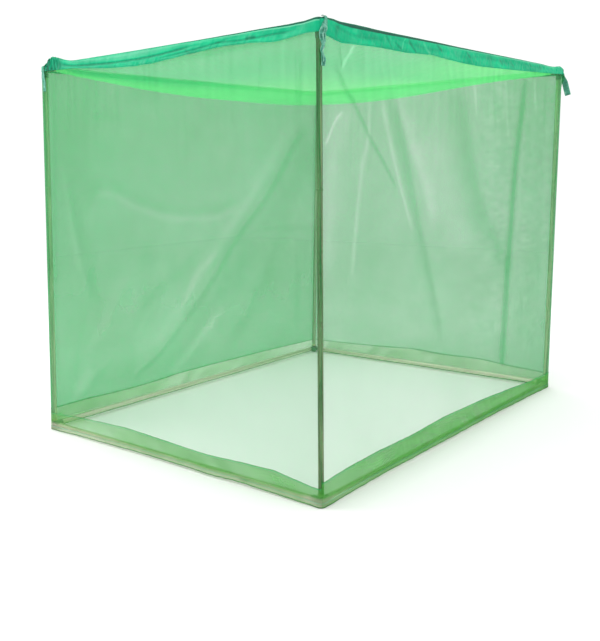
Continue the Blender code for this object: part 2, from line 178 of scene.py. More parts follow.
def through(values, count):
    """A smooth curve through a column of values: cubic Hermite with mid-point slopes."""
    values = np.asarray(values, float)
    slope = np.gradient(values)
    at = np.linspace(0, len(values) - 1, count)
    first = np.minimum(at.astype(int), len(values) - 2)
    u = at - first
    return ((2 * u ** 3 - 3 * u ** 2 + 1) * values[first] + (u ** 3 - 2 * u ** 2 + u) * slope[first]
            + (3 * u ** 2 - 2 * u ** 3) * values[first + 1] + (u ** 3 - u ** 2) * slope[first + 1])


print("noise repeats after", LATTICE, "hills")

# %% [markdown]
# ## A grid of points becomes a piece of cloth
# Every piece of cloth here is a grid of points worked out as whole arrays. Quads join
# the grid, and a UV map called cloth holds each point's place on the flat cut in metres.
# Two attributes go with the points: layers says how many extra layers of cloth lie there,
# which the materials turn into a denser green, and shade is painted light and shade in
# the colour: paler up to 1 for a painted highlight or glow, darker down to -1 for
# painted shade, as in a crease.

# %% Grid to mesh
def unit(vectors):
    """Each vector over its own length."""
    return vectors / np.linalg.norm(vectors, axis=-1, keepdims=True)


def new_piece(name, points, quads, flat):
    """An object of quads, with each point's place on the flat cut in a UV map called cloth."""
    mesh = bpy.data.meshes.new(name)
    mesh.from_pydata(points, [], quads)
    cloth = mesh.uv_layers.new(name="cloth")
    cloth.uv.foreach_set("vector", flat[quads.ravel()].astype(np.float32).ravel())
    piece = bpy.data.objects.new(name, mesh)
    bpy.context.scene.collection.objects.link(piece)
    return piece


def cloth_piece(name, points, flat, layers=None, shade=None, thickness=0.0):
    """A mesh of quads over a grid of points; thickness, if any, is put round the middle."""
    rows, columns = points.shape[:2]
    index = np.arange(rows * columns).reshape(rows, columns)
    quads = np.stack([index[:-1, :-1], index[:-1, 1:], index[1:, 1:], index[1:, :-1]], axis=-1)
    piece = new_piece(name, points.reshape(-1, 3), quads.reshape(-1, 4), flat.reshape(-1, 2))
    for label, values in (("layers", layers), ("shade", shade)):
        if values is not None:
            values = values.astype(np.float32).ravel()
            piece.data.attributes.new(label, "FLOAT", "POINT").data.foreach_set("value", values)
    piece.data.shade_smooth()
    if thickness:
        shell = piece.modifiers.new("thickness", "SOLIDIFY")
        shell.thickness = thickness
        shell.offset = 0.0
    return piece


def place(piece, material, slot, *nodes):
    """Gives a piece its finish and the body it moves with, and hides the CAD nodes that it stands for."""
    piece.data.materials.append(material)
    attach(piece, "root")
    if nodes:
        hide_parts(*nodes)
    return piece


print("cloth is made as grids of quads")

# %% [markdown]
# ## Colours and nodes
# Colours are picked from the photo as sRGB hex, while shaders count in linear light, so
# one function turns the one into the other. A second small function adds any node at
# all, with its properties and its links, which keeps each material to a few lines.

# %% Colour and node helpers
MIX_FIRST, MIX_SECOND, MIX_COLOUR = 6, 7, 2      # a Mix node's colour sockets


def linear(hex_colour):
    """Linear RGBA of an sRGB hex colour."""
    channels = [int(hex_colour[i:i + 2], 16) / 255 for i in (0, 2, 4)]
    return [c / 12.92 if c <= 0.04045 else ((c + 0.055) / 1.055) ** 2.4 for c in channels] + [1.0]


def add(tree, kind, inputs, **settings):
    """Adds a node: settings are its properties, inputs its sockets' values or links."""
    made = tree.nodes.new("ShaderNode" + kind)
    for name, value in settings.items():
        setattr(made, name, value)
    for socket, value in inputs.items():
        if isinstance(value, bpy.types.NodeSocket):
            tree.links.new(value, made.inputs[socket])
        else:
            made.inputs[socket].default_value = value
    return made


def new_material(name):
    """An empty node material and its tree."""
    material = bpy.data.materials.new(name)
    material.use_nodes = True
    material.node_tree.nodes.clear()
    return material, material.node_tree


def two_tone(tree, vector, scale, first, second, detail=2.0, stretch=(1, 1, 1)):
    """A colour that wanders between two hexes over hills of noise, scale to the metre."""
    turned = add(tree, "Mapping", {"Vector": vector, "Scale": stretch}).outputs[0]
    noise = add(tree, "TexNoise", {"Vector": turned, "Scale": scale, "Detail": detail})
    spread = add(tree, "MapRange", {"Value": noise.outputs["Fac"], "From Min": 0.3, "From Max": 0.7})
    return add(tree, "Mix", {0: spread.outputs[0], MIX_FIRST: linear(first),
                             MIX_SECOND: linear(second)}, data_type="RGBA").outputs[MIX_COLOUR]


def shaded(tree, colour, pale, dark):
    """Mixes a colour towards pale where the shade attribute is above 0, to dark below 0."""
    shade = add(tree, "Attribute", {}, attribute_name="shade").outputs["Fac"]
    for hex_colour, factor in ((pale, 1.0), (dark, -1.0)):
        share = add(tree, "Math", {0: shade, 1: factor}, operation="MULTIPLY", use_clamp=True)
        colour = add(tree, "Mix", {0: share.outputs[0], MIX_FIRST: colour,
                                   MIX_SECOND: linear(hex_colour)},
                     data_type="RGBA").outputs[MIX_COLOUR]
    return colour


print("hex 8FDDA6 is", [round(c, 3) for c in linear("8FDDA6")])

# %% [markdown]
# ## The net
# Mosquito net is polyester yarn knitted into small six-sided holes. Up close the yarn is
# a glossy green thread; from across a room the eye sees only a tint, deeper where two
# layers overlap. Modelling a thread is out of reach, at millions of holes, so the knit
# is drawn in the opacity: yarn is denser than the hole beside it. Yarn also lets light
# through sideways, so half of its colour comes from a Translucent shader, which is lit
# from behind.

# %% Net material
KNIT_REAL = 0.0013        # metres between holes on the real net
KNIT_DRAWN = 0.0068       # drawn five times as coarse, or no render would show it


def thicken(tree, opacity):
    """What is left clear by (1 + layers) sheets of this opacity: (1 - opacity) ^ (1 + layers)."""
    clear = add(tree, "Math", {0: 1.0, 1: opacity}, operation="SUBTRACT", use_clamp=True)
    layers = add(tree, "Attribute", {}, attribute_name="layers").outputs["Fac"]
    count = add(tree, "Math", {0: layers, 1: 1.0}, operation="ADD")
    return add(tree, "Math", {0: clear.outputs[0], 1: count.outputs[0]}, operation="POWER").outputs[0]


def knitted_net(name, hole, yarn, tones, ends=None):
    """Opacity is hole or yarn by the knit, times slow hills, thickened by the layers."""
    material, tree = new_material(name)
    cloth = add(tree, "UVMap", {}, uv_map="cloth").outputs[0]
    knit = add(tree, "TexBrick", {"Vector": cloth, "Scale": 1 / KNIT_DRAWN, "Mortar Size": 0.11,
                                  "Mortar Smooth": 0.9, "Brick Width": 1.0, "Row Height": 0.56})
    opacity = add(tree, "MapRange", {"Value": knit.outputs["Fac"], "To Min": hole, "To Max": yarn})
    uneven = add(tree, "TexNoise", {"Vector": cloth, "Scale": 9.0, "Detail": 3.0})
    spread = add(tree, "MapRange", {"Value": uneven.outputs["Fac"], "From Min": 0.3, "From Max": 0.7,
                                    "To Min": 0.96, "To Max": 1.04})
    uneven_opacity = add(tree, "Math", {0: opacity.outputs[0], 1: spread.outputs[0]},
                         operation="MULTIPLY")
    left_clear = thicken(tree, uneven_opacity.outputs[0])
    colour = two_tone(tree, cloth, 3.0, *tones)
    if ends:
        colour = shaded(tree, colour, *ends)
    bump = add(tree, "Bump", {"Height": knit.outputs["Fac"], "Strength": 0.25, "Distance": 0.0004})
    yarn_shader = add(tree, "BsdfPrincipled", {
        "Base Color": colour, "Roughness": 0.5, "Normal": bump.outputs[0],
        "Specular IOR Level": 0.2, "Sheen Weight": 0.04, "Sheen Roughness": 0.4})
    glow = add(tree, "BsdfTranslucent", {"Color": colour})
    thread = add(tree, "MixShader", {0: 0.5, 1: yarn_shader.outputs[0], 2: glow.outputs[0]})
    hole_shader = add(tree, "BsdfTransparent", {})
    surface = add(tree, "MixShader", {0: left_clear, 1: thread.outputs[0],
                                      2: hole_shader.outputs[0]})
    add(tree, "OutputMaterial", {"Surface": surface.outputs[0]})
    return material


# knitted polyester: a green tint that deepens wherever layers or folds add up
NET = knitted_net("knitted_polyester_net", 0.36, 0.54, ("28A457", "2DAC61"))
# the same knit on the roof, given brighter tones as painted light for the open sky above
# it, and a paler end for the painted glow of its bowl
ROOF_NET = knitted_net("knitted_roof_net", 0.46, 0.60, ("2ED07C", "38D484"), ("74FA90", "1E8C5C"))
print("knit of", KNIT_REAL * 1000, "mm drawn at", KNIT_DRAWN * 1000, "mm")

# %% [markdown]
# ## Satin, border cloth and tape
# The band and the ties are satin: long threads float side by side, so light slides along
# them and the folds shine. The border is the same green yarn woven close, so it is nearly
# opaque. Each pattern's scale is a real thread spacing, drawn coarser where it would be
# lost in the picture.

# %% Woven materials
def woven(name, tones, thread, roughness, glow_share, sheen=0.05, opacity=1.0, spots=7.0, ends=None):
    """Two crossing sets of threads as a bump, over a colour that wanders; part of the light
    comes through the cloth, and opacity under 1 leaves small gaps clear."""
    material, tree = new_material(name)
    cloth = add(tree, "UVMap", {}, uv_map="cloth").outputs[0]
    colour = two_tone(tree, cloth, spots, *tones, detail=3.0, stretch=(1, 3.5, 1))
    if ends:
        colour = shaded(tree, colour, *ends)
    warp = add(tree, "TexWave", {"Vector": cloth, "Scale": 1 / thread / 20, "Distortion": 0.4},
               bands_direction="X")
    weft = add(tree, "TexWave", {"Vector": cloth, "Scale": 1 / thread / 20, "Distortion": 0.4},
               bands_direction="Y")
    cross = add(tree, "Math", {0: warp.outputs["Fac"], 1: weft.outputs["Fac"]}, operation="ADD")
    bump = add(tree, "Bump", {"Height": cross.outputs[0], "Strength": 0.2,
                              "Distance": thread / 3})
    wear = add(tree, "TexNoise", {"Vector": cloth, "Scale": 40.0, "Detail": 3.0})
    rough = add(tree, "MapRange", {"Value": wear.outputs["Fac"], "To Min": roughness - 0.06,
                                   "To Max": roughness + 0.1})
    face = add(tree, "BsdfPrincipled", {"Base Color": colour, "Roughness": rough.outputs[0],
                                        "Normal": bump.outputs[0], "Sheen Weight": sheen,
                                        "Sheen Roughness": 0.35, "Specular IOR Level": 0.16})
    glow = add(tree, "BsdfTranslucent", {"Color": colour})
    surface = add(tree, "MixShader", {0: glow_share, 1: face.outputs[0], 2: glow.outputs[0]})
    if opacity < 1:
        gap = add(tree, "BsdfTransparent", {})
        holes = add(tree, "MapRange", {"Value": cross.outputs[0], "From Min": 0.4, "From Max": 1.6,
                                       "To Min": opacity - 0.02, "To Max": opacity + 0.02})
        surface = add(tree, "MixShader", {0: thicken(tree, holes.outputs[0]),
                                          1: surface.outputs[0], 2: gap.outputs[0]})
    add(tree, "OutputMaterial", {"Surface": surface.outputs[0]})
    return material


# satin: long floats of thread, an even sea green, painted paler as highlight on folds and
# painted darker as shade in creases
BAND = woven("polyester_satin_band", ("0ABC88", "1CDBA0"), 0.0016, 0.4, 0.3, sheen=0.02,
             ends=("9CEBCC", "1C6650"))
# close plain weave: half opaque grass green, painted paler over the hem for the lit tube
# behind it, and painted dark along its lowest edge as contact shadow
BORDER = woven("close_woven_polyester_border", ("50AF46", "62BD56"), 0.0016, 0.6, 0.4,
               sheen=0.02, opacity=0.5, ends=("D0D8BC", "2F6B45"))
# satin tape: grey green, with a painted highlight on its cupped edges and painted shade
# between them
TIE = woven("satin_tape", ("3E9478", "6CBCA2"), 0.0012, 0.3, 0.15, spots=60.0,
            ends=("BCE8D8", "0C4436"))
# spun sewing thread: small dull dashes a shade off the cloth
THREAD = woven("polyester_sewing_thread", ("37B58A", "4CC49A"), 0.0005, 0.4, 0.2)
print("woven:", BAND.name, BORDER.name, TIE.name, THREAD.name)

# %% [markdown]
# ## Tube, fittings and collars
# The poles are drawn steel tube. Drawing leaves fine lines along the tube and handling
# leaves smudges, so roughness is a noise stretched along the length. The one steel gets
# a pair of tones for each place, and these tones are painted light and shade: the low
# rails are painted pale as lit tube and left matt, the near high ones are painted dark as
# rail in shade, the bare near post is painted as dark reflection with tan streaks, and the
# posts that net is wrapped round, with the far post and rails, are painted paler for the
# lit net in front of them. The push-fit elbows, feet and collars are moulded plastic with
# a spark-eroded grain.

# %% Frame materials
STEEL = {      # darker tone, brighter tone, roughness
    "near": ("434238", "9C967C", 0.22),      # polished: a dark tube with one bright line; its tones are painted reflection
    "high": ("22342C", "586C60", 0.22),      # painted shade: a thin dark line over the band
    "low": ("C8C4B0", "E8E4D4", 0.50),       # painted light: pale under the hem, and matt
    "far": ("8E947E", "C8CAB4", 0.30),       # painted paler, for two layers of lit net in front
    "side": ("8C9C80", "CAD8B0", 0.30),      # painted paler, for the lit net wrapped round it
}
POST_STEEL = {"near": "near", "left": "side", "right": "side", "back": "far"}


def drawn_steel(name, direction, dark, bright, roughness):
    """Drawn and polished steel tube. What lies across the tube counts in full and what lies
    along it is shrunk to a fortieth: p - 0.975 d (p . d), so noise is drawn out lengthwise."""
    material, tree = new_material(name)
    here = add(tree, "TexCoord", {}).outputs["Object"]
    reach = add(tree, "VectorMath", {0: here, 1: direction}, operation="DOT_PRODUCT").outputs["Value"]
    back = add(tree, "VectorMath", {0: direction, "Scale": reach}, operation="SCALE").outputs[0]
    most = add(tree, "VectorMath", {0: back, "Scale": 0.975}, operation="SCALE").outputs[0]
    across = add(tree, "VectorMath", {0: here, 1: most}, operation="SUBTRACT").outputs[0]
    draw = add(tree, "TexNoise", {"Vector": across, "Scale": 900.0, "Detail": 2.0})
    smudge = add(tree, "TexNoise", {"Vector": here, "Scale": 30.0, "Detail": 3.0})
    both = add(tree, "Math", {0: draw.outputs["Fac"], 1: smudge.outputs["Fac"]}, operation="ADD")
    rough = add(tree, "MapRange", {"Value": both.outputs[0], "From Min": 0.6, "From Max": 1.4,
                                   "To Min": roughness, "To Max": roughness + 0.2})
    # streaks between the two tones along the tube: partly draw marks, partly painted reflection
    colour = two_tone(tree, across, 170.0, dark, bright, detail=1.0)
    bump = add(tree, "Bump", {"Height": draw.outputs["Fac"], "Strength": 0.1, "Distance": 0.0002})
    shader = add(tree, "BsdfPrincipled", {"Base Color": colour, "Roughness": rough.outputs[0],
                                          "Metallic": 1.0, "Normal": bump.outputs[0]})
    add(tree, "OutputMaterial", {"Surface": shader.outputs[0]})
    return material


def moulded(name, tones, roughness):
    """Moulded plastic: even colour with faint flow clouds, grain of about half a millimetre."""
    material, tree = new_material(name)
    here = add(tree, "TexCoord", {}).outputs["Object"]
    grain = add(tree, "TexNoise", {"Vector": here, "Scale": 1800.0, "Detail": 1.0})
    bump = add(tree, "Bump", {"Height": grain.outputs["Fac"], "Strength": 0.2,
                              "Distance": 0.0003})
    colour = two_tone(tree, here, 60.0, *tones)
    shader = add(tree, "BsdfPrincipled", {"Base Color": colour, "Roughness": roughness,
                                          "Normal": bump.outputs[0], "IOR": 1.5})
    add(tree, "OutputMaterial", {"Surface": shader.outputs[0]})
    return material


def tube_finish(node):
    """The steel whose draw lines follow this tube: a post's own lean, or a rail's X or Y."""
    words = node.split("_")
    if words[0] == "post":
        low, high = AXES[words[1]]
        way = tuple((high - low) / np.linalg.norm(high - low))
        return f"drawn_steel_post_{words[1]}", way, STEEL[POST_STEEL[words[1]]]
    way = (1, 0, 0) if words[0] in ("foot", "head") else (0, 1, 0)
    group = "far" if words[1] == "high" and words[0] in ("head", "left") else words[1]
    return f"drawn_steel_{group}_{'cross' if way[0] else 'side'}_rail", way, STEEL[group]


# moulded nylon and collar plastic: dull grey green and dull cream, with no bright glints
HARD = {"fitting": moulded("moulded_nylon_fitting", ("5F6559", "6E7468"), 0.45),
        "collar": moulded("moulded_collar", ("BDB68B", "CCC6A0"), 0.5)}
for part in frame["record"]["subparts"]:
    if part["material_slot"] == "steel":
        name, direction, look = tube_finish(part["node"])
        finish = bpy.data.materials.get(name) or drawn_steel(name, direction, *look)
    else:
        finish = HARD.get(part["material_slot"])
    if finish:
        for slot in frame["nodes"][part["node"]].material_slots:
            slot.material = finish
print("steel:", sorted(m.name for m in bpy.data.materials if "drawn_steel" in m.name))

# %% [markdown]
# ## How a wall hangs
# A wall is pulled straight between two posts and wraps an eighth of a turn round each.
# Under tension it doesn't billow; it only folds where it has been pulled askew. So the
# surface is a straight one plus broad ridges along slanting lines, measured from the photo.

# %% Wall surface
MAIN_COLUMNS = ("top_along", "top_height", "low_along", "low_height", "width", "depth")
FOLDS = {
    "foot_wall": ((0.93, 1.15, 0.50, 0.35, 0.085, 0.016), (0.40, 1.20, 0.22, 0.30, 0.110, 0.010),
                  (0.72, 0.55, 0.66, 0.05, 0.090, 0.009)),
    "right_wall": ((0.05, 1.38, 0.24, 0.90, 0.070, 0.014), (0.20, 1.32, 0.37, 0.40, 0.090, 0.015),
                   (0.44, 1.34, 0.62, 0.66, 0.100, 0.018), (0.76, 1.42, 0.71, 0.20, 0.060, 0.016)),
    "head_wall": ((0.13, 1.36, 0.24, 0.10, 0.095, 0.017), (0.38, 1.40, 0.31, 0.15, 0.100, 0.015),
                  (0.65, 1.38, 0.53, 0.10, 0.100, 0.018), (0.90, 1.40, 0.83, 0.30, 0.070, 0.013)),
    "left_wall": ((0.06, 1.20, 0.55, 0.15, 0.095, 0.015), (0.30, 1.30, 0.72, 0.50, 0.110, 0.012),
                  (0.84, 0.90, 0.90, 0.10, 0.090, 0.011)),
}
FOLD_FADE = 0.16          # metres in which a ridge dies out past its ends
POST_FADE = 0.10          # metres in which the cloth is drawn flat towards a post
TURN_STEPS = 3            # columns of cloth round an eighth of a post


def ridges(rows, length, along, height):
    """A sum of depth times exp(-distance^2 / width^2) from slanting lines, which fade past
    their two ends."""
    total = np.zeros(np.broadcast(along, height).shape)
    for row in rows:
        fold = dict(zip(MAIN_COLUMNS, row))
        share = (height - fold["low_height"]) / (fold["top_height"] - fold["low_height"])
        line = fold["low_along"] + (fold["top_along"] - fold["low_along"]) * share
        across = (along - line) * length / fold["width"]
        ends = smooth((fold["top_height"] + FOLD_FADE - height) / FOLD_FADE)
        ends = ends * smooth((height - fold["low_height"] + FOLD_FADE) / FOLD_FADE)
        total += fold["depth"] * np.exp(-across ** 2) * ends
    return total


def wall_points(wall, along, turn, height, lift=0.0):
    """The line between two posts, out by CLOTH_OUT and lift along the normal turned by turn."""
    first, last, normal = WALLS[wall]
    share = along[..., None]
    line = (1 - share) * post_axis(first, height) + share * post_axis(last, height)
    cos, sin = np.cos(turn), np.sin(turn)
    out = np.stack([normal[0] * cos - normal[1] * sin, normal[0] * sin + normal[1] * cos,
                    np.zeros_like(turn)], axis=-1)
    return line + out * (CLOTH_OUT + np.asarray(lift))[..., None]


def to_nearest_post(wall, along):
    """Metres to the nearer end of a wall."""
    return np.minimum(along, 1 - along) * wall_length(wall)


def main_folds(wall, along, height):
    """The wall's ridges, drawn flat near the posts and just under the rail."""
    return (ridges(FOLDS[wall], wall_length(wall), along, height)
            * smooth(to_nearest_post(wall, along) / POST_FADE)
            * smooth((HIGH_RAIL - height) / FOLD_FADE))


def wall_columns(wall, step):
    """Places along a wall and the turn round the post at each end, about step apart."""
    turn = np.linspace(math.pi / 4, 0.0, TURN_STEPS + 1)[:-1]
    along = np.linspace(0.0, 1.0, round(wall_length(wall) / step) + 1)
    still = np.zeros(len(turn))
    return (np.concatenate([still, along, still + 1.0]),
            np.concatenate([-turn, np.zeros(len(along)), turn[::-1]]))


print({wall: len(rows) for wall, rows in FOLDS.items()}, "main folds")

# %% [markdown]
# ## Lines of pull
# A knot at a corner or a snag at the hem pulls the net along a line. On the line the cloth
# stands up and its threads crowd together, so the green deepens; beside it the cloth is
# drawn thin and pales. Shading alone can't show that on a sheet that is half holes, so each
# row gives the extra layers that the line looks like, its half width in millimetres and
# the places it passes, as (share of the wall, metres above the floor).

# %% Pull tables
PULLS = {
    "foot_wall": (
        (0.55, 12, ((.962, 1.201), (.91, 1.086), (.86, .995), (.777, .874), (.671, .684), (.52, .461),
                    (.394, .316))),
        (0.25, 50, ((.997, 1.181), (.895, .975), (.812, .854), (.706, .664), (.555, .441), (.43, .296))),
        (-0.30, 30, ((.922, 1.221), (.82, 1.015), (.737, .894), (.631, .704), (.48, .481))),
        (-0.45, 14, ((.718, .623), (.668, .548), (.599, .448), (.545, .375))),
        (0.30, 22, ((.909, .913), (.865, .786), (.804, .627), (.732, .49))),
        (0.25, 35, ((.123, 1.048), (.151, .877), (.19, .726), (.229, .595))),
        (-0.20, 18, ((.085, 1.115), (.108, .952), (.147, .751), (.196, .571))),
        (0.25, 10, ((.946, .824), (.944, .584))),
        (0.20, 8, ((.852, .91), (.997, .917))),
        (0.35, 7, ((.96, 1.42), (.956, 1.28))),
        (0.25, 6, ((.845, 1.45), (.838, 1.34))),
        (0.30, 6, ((.945, 1.44), (.948, 1.3))),
        (0.35, 18, ((.055, 1.447), (.028, .26)))),
    "left_wall": (
        (-0.30, 20, ((.881, .896), (.851, .993), (.807, .99), (.762, .949), (.708, .912), (.634, .871),
                     (.529, .854), (.435, .856), (.376, .894))),
        (0.20, 30, ((.881, .936), (.851, 1.033), (.807, 1.03), (.762, .989), (.708, .952), (.634, .911),
                    (.529, .894), (.435, .896), (.376, .934))),
        (0.22, 22, ((.817, .133), (.671, .268), (.529, .493), (.415, .694), (.293, .907), (.207, 1.058))),
        (-0.30, 22, ((.754, .167), (.602, .366), (.529, .567), (.444, .674))),
        (0.15, 30, ((.711, .478), (.601, .582), (.511, .697))),
        (-0.30, 30, ((.927, .133), (.861, .218), (.792, .296))),
        (0.20, 20, ((.95, .10), (.90, .45), (.86, .75))),
        (-0.20, 30, ((.93, .10), (.85, .40), (.78, .62))),
        (0.18, 20, ((.90, .10), (.76, .36), (.66, .55))),
        (0.20, 20, ((.868, 1.328), (.774, 1.334)))),
    "right_wall": (
        (-0.90, 6, ((.088, 1.47), (.068, 1.434), (.045, 1.397))),
        (0.60, 6, ((.045, 1.466), (.045, 1.397))),
        (0.70, 9, ((.032, 1.392), (.055, 1.334), (.081, 1.289), (.123, 1.193), (.167, 1.113),
                   (.205, 1.037))),
        (-0.80, 7, ((.052, 1.266), (.029, 1.224), (.007, 1.17))),
        (-0.45, 12, ((.133, 1.307), (.119, 1.185), (.103, .999), (.082, .744))),
        (-0.35, 50, ((.061, 1.28), (.022, 1.074), (.012, .795))),
        (-0.55, 12, ((.165, 1.317), (.212, 1.097), (.263, .883))),
        (0.55, 36, ((.194, 1.32), (.223, 1.195), (.252, 1.065), (.297, .862), (.335, .724),
                    (.395, .466))),
        (-0.45, 45, ((.225, 1.322), (.284, 1.181), (.346, 1.029), (.376, .894))),
        (0.50, 60, ((.44, 1.358), (.485, 1.125), (.543, .929), (.625, .79), (.702, .641))),
        (-0.30, 120, ((.36, 1.2), (.44, .95), (.50, .75))),
        (-0.40, 12, ((.527, 1.408), (.541, 1.29))),
        (-0.40, 14, ((.839, 1.464), (.854, 1.32))),
        (0.25, 12, ((.62, 1.44), (.63, 1.25))),
        (-0.30, 12, ((.68, 1.44), (.70, 1.2))),
        (0.30, 10, ((.90, 1.44), (.91, 1.2))),
        (-0.25, 50, ((.93, 1.3), (.95, .4)))),
    "head_wall": (      # one upright tuck
        (1.20, 15, ((.119, 1.499), (.14, 1.234), (.15, 1.037), (.158, .701), (.162, .54),
                    (.166, .069))),),
}
STEEPNESS = 0.30          # how far a line of pull stands out, for each layer and metre of width
FADE_SHARE, FADE_MOST = 0.35, 0.15        # a line fades over this share of its run, or so many metres


def streak(points, width, length, along, height):
    """exp(-(across / width)^2) from a smooth line through the points, fading past its ends."""
    line = np.array([through(column, 8 * len(points)) for column in zip(*points)])
    line = line * [[length], [1.0]]
    here = (along * length, height)
    longer = int(np.ptp(line[1]) > np.ptp(line[0]))
    order = np.argsort(line[longer])
    run, off = line[longer][order], line[1 - longer][order]
    lean = np.interp(here[longer], run, np.gradient(off, np.arange(len(run)))
                     / np.maximum(np.gradient(run), 1e-4))
    across = (here[1 - longer] - np.interp(here[longer], run, off)) / np.hypot(1, lean)
    fade = min(FADE_SHARE * (run[-1] - run[0]), FADE_MOST)
    ends = smooth((here[longer] - run[0]) / fade + 0.5) * smooth((run[-1] - here[longer]) / fade + 0.5)
    return np.exp(-(across / width) ** 2) * ends


def pulls(rows, length, along, height):
    """Two sums over the lines of pull: the layers they look like, and how far they stand out."""
    layers, lift = np.zeros(along.shape), np.zeros(along.shape)
    for dense, width_mm, points in rows:
        line = streak(points, width_mm / 1000, length, along, height)
        layers += dense * line
        lift += dense * STEEPNESS * width_mm / 1000 * line
    return layers, lift


print({wall: len(rows) for wall, rows in PULLS.items()}, "lines of pull")

# %% [markdown]
# ## Corners drawn up by the ties
# A tape that is knotted round an elbow drags cloth with it. Three such places show: a peak
# at the near corner, a bunch of turned-over band beside the left one, and a bulge with
# short pleats round the right one. Each is a hump of its own measured height and reach,
# read by the roof, the walls and the bands alike, so their edges still meet.

# %% Corners
PEAK_HEIGHT, PEAK_REACH, PEAK_SHIFT = 0.014, 0.090, 0.012
# (metres from the near post, metres up): the top edge stands loose along both near rails
LOOSE_FOOT = ((0.000, -0.001), (0.015, -0.001), (0.053, 0.001), (0.073, 0.004), (0.110, 0.003),
              (0.240, 0.003), (0.320, 0.0015), (0.420, 0.001), (0.510, 0.000), (0.610, 0.000))
LOOSE_RIGHT = ((0.000, 0.000), (0.038, 0.003), (0.053, 0.007), (0.078, 0.0075), (0.110, 0.0085),
               (0.210, 0.008), (0.320, 0.006), (0.640, 0.006), (0.870, 0.0045), (1.400, 0.005),
               (1.620, 0.004), (1.720, 0.001), (1.850, 0.000))
# (metres from the left post, metres up): the bunch at the foot wall's end
BUNCH = ((0.000, -0.002), (0.020, 0.003), (0.037, 0.013), (0.060, 0.026), (0.080, 0.028),
         (0.110, 0.021), (0.138, 0.012), (0.170, 0.005), (0.200, 0.001), (0.230, 0.0))
BUNCH_REACH = 0.05        # metres over which the bunch fades towards the head
SHOULDER = 0.003          # metres that the right corner is drawn up
BULGE_OUT, BULGE_HEIGHT, BULGE_TALL, BULGE_WIDE = 0.013, 1.489, 0.024, 0.055


def plan(wall, along):
    """A place on a wall's top edge, as metres from the left wall and from the foot wall."""
    wide, long = wall_length("foot_wall"), wall_length("right_wall")
    still = np.zeros_like(along)
    return {"foot_wall": (along * wide, still), "right_wall": (still + wide, along * long),
            "head_wall": ((1 - along) * wide, still + long),
            "left_wall": (still, (1 - along) * long)}[wall]


def raised(x, y):
    """How far the ties draw up the top edge: a cone, a table times a bell, and a bell. Along
    the two near rails it stands up a little by two more tables, each times a bell."""
    wide, long = wall_length("foot_wall"), wall_length("right_wall")
    peak = PEAK_HEIGHT * np.clip(1 - np.hypot(wide - x, y - PEAK_SHIFT) / PEAK_REACH, 0, 1) ** 1.5
    bunch = read_table(BUNCH, x, 0.01) * np.exp(-(y / BUNCH_REACH) ** 2)
    shoulder = SHOULDER * np.exp(-((wide - x) / 0.04) ** 2 - ((long - y - 0.02) / 0.05) ** 2)
    loose = read_table(LOOSE_FOOT, wide - x, 0.008) * np.exp(-(y / 0.03) ** 2)
    loose = loose + read_table(LOOSE_RIGHT, y, 0.008) * np.exp(-((wide - x) / 0.03) ** 2)
    return peak + bunch + shoulder + loose


def bulge(wall, along, height):
    """A swelling round the right corner, pleated by a wave round the post."""
    if "right" not in WALLS[wall][:2]:
        return np.zeros_like(height)
    from_right = (1 - along if WALLS[wall][1] == "right" else along) * wall_length(wall)
    swell = np.exp(-((height - BULGE_HEIGHT) / BULGE_TALL) ** 2 - (from_right / BULGE_WIDE) ** 2)
    return BULGE_OUT * swell * (1 + 0.25 * np.sin(2 * math.pi * from_right / 0.013))


print("near peak", round(float(raised(wall_length("foot_wall"), PEAK_SHIFT)) * 1000, 1), "mm high")

# %% [markdown]
# ## Edges of band and border
# The band's lower edge and the border's upper edge were sewn by eye and wander by a
# centimetre or two. Each edge is a short table of places along the wall, rounded at its
# joints and used by both pieces that meet there, so they share the seam.

# %% Seam tables
BAND_DROP = {     # (share of the wall, metres from the net's top to the band's seam)
    "foot_wall": ((0.00, 0.028), (0.14, 0.033), (0.30, 0.052), (0.41, 0.059), (0.48, 0.058),
                  (0.59, 0.047), (0.72, 0.037), (0.82, 0.039), (0.89, 0.047), (0.98, 0.034)),
    "right_wall": ((0.01, 0.043), (0.04, 0.059), (0.16, 0.052), (0.25, 0.054), (0.34, 0.046),
                   (0.45, 0.055), (0.54, 0.057), (0.69, 0.049), (0.90, 0.035), (0.99, 0.029)),
    "head_wall": ((0.00, 0.030), (0.12, 0.026), (0.40, 0.024), (0.63, 0.027), (0.86, 0.025),
                  (1.00, 0.029)),
    "left_wall": ((0.00, 0.029), (0.12, 0.025), (0.33, 0.027), (0.52, 0.024), (0.76, 0.026),
                  (1.00, 0.028)),
}
BORDER_HEIGHT = {     # (share of the wall, metres from the floor to the border's seam)
    "foot_wall": ((0.00, 0.076), (0.14, 0.089), (0.34, 0.098), (0.58, 0.084), (0.75, 0.086),
                  (0.87, 0.090), (0.98, 0.068)),
    "right_wall": ((0.00, 0.090), (0.06, 0.100), (0.17, 0.106), (0.30, 0.104), (0.43, 0.113),
                   (0.59, 0.107), (0.70, 0.100), (0.87, 0.080), (1.00, 0.076)),
    "head_wall": ((0.00, 0.070), (0.25, 0.088), (0.55, 0.094), (0.80, 0.080), (1.00, 0.072)),
    "left_wall": ((0.00, 0.072), (0.22, 0.084), (0.48, 0.092), (0.74, 0.083), (1.00, 0.090)),
}
HEM_UP = {     # how far the hem stands off the surface between the posts
    "foot_wall": ((0.00, 0.0), (0.12, 0.006), (0.35, 0.010), (0.75, 0.010), (0.92, 0.006), (1.00, 0.0)),
    "right_wall": ((0.00, 0.0), (0.08, 0.006), (0.20, 0.010), (0.70, 0.011), (0.90, 0.006), (1.00, 0.0)),
    "head_wall": ((0.00, 0.0), (1.00, 0.0)),
    "left_wall": ((0.00, 0.0), (1.00, 0.0)),
}
SEAM_ROUND = 0.008        # share of a wall over which the tables' joints are rounded


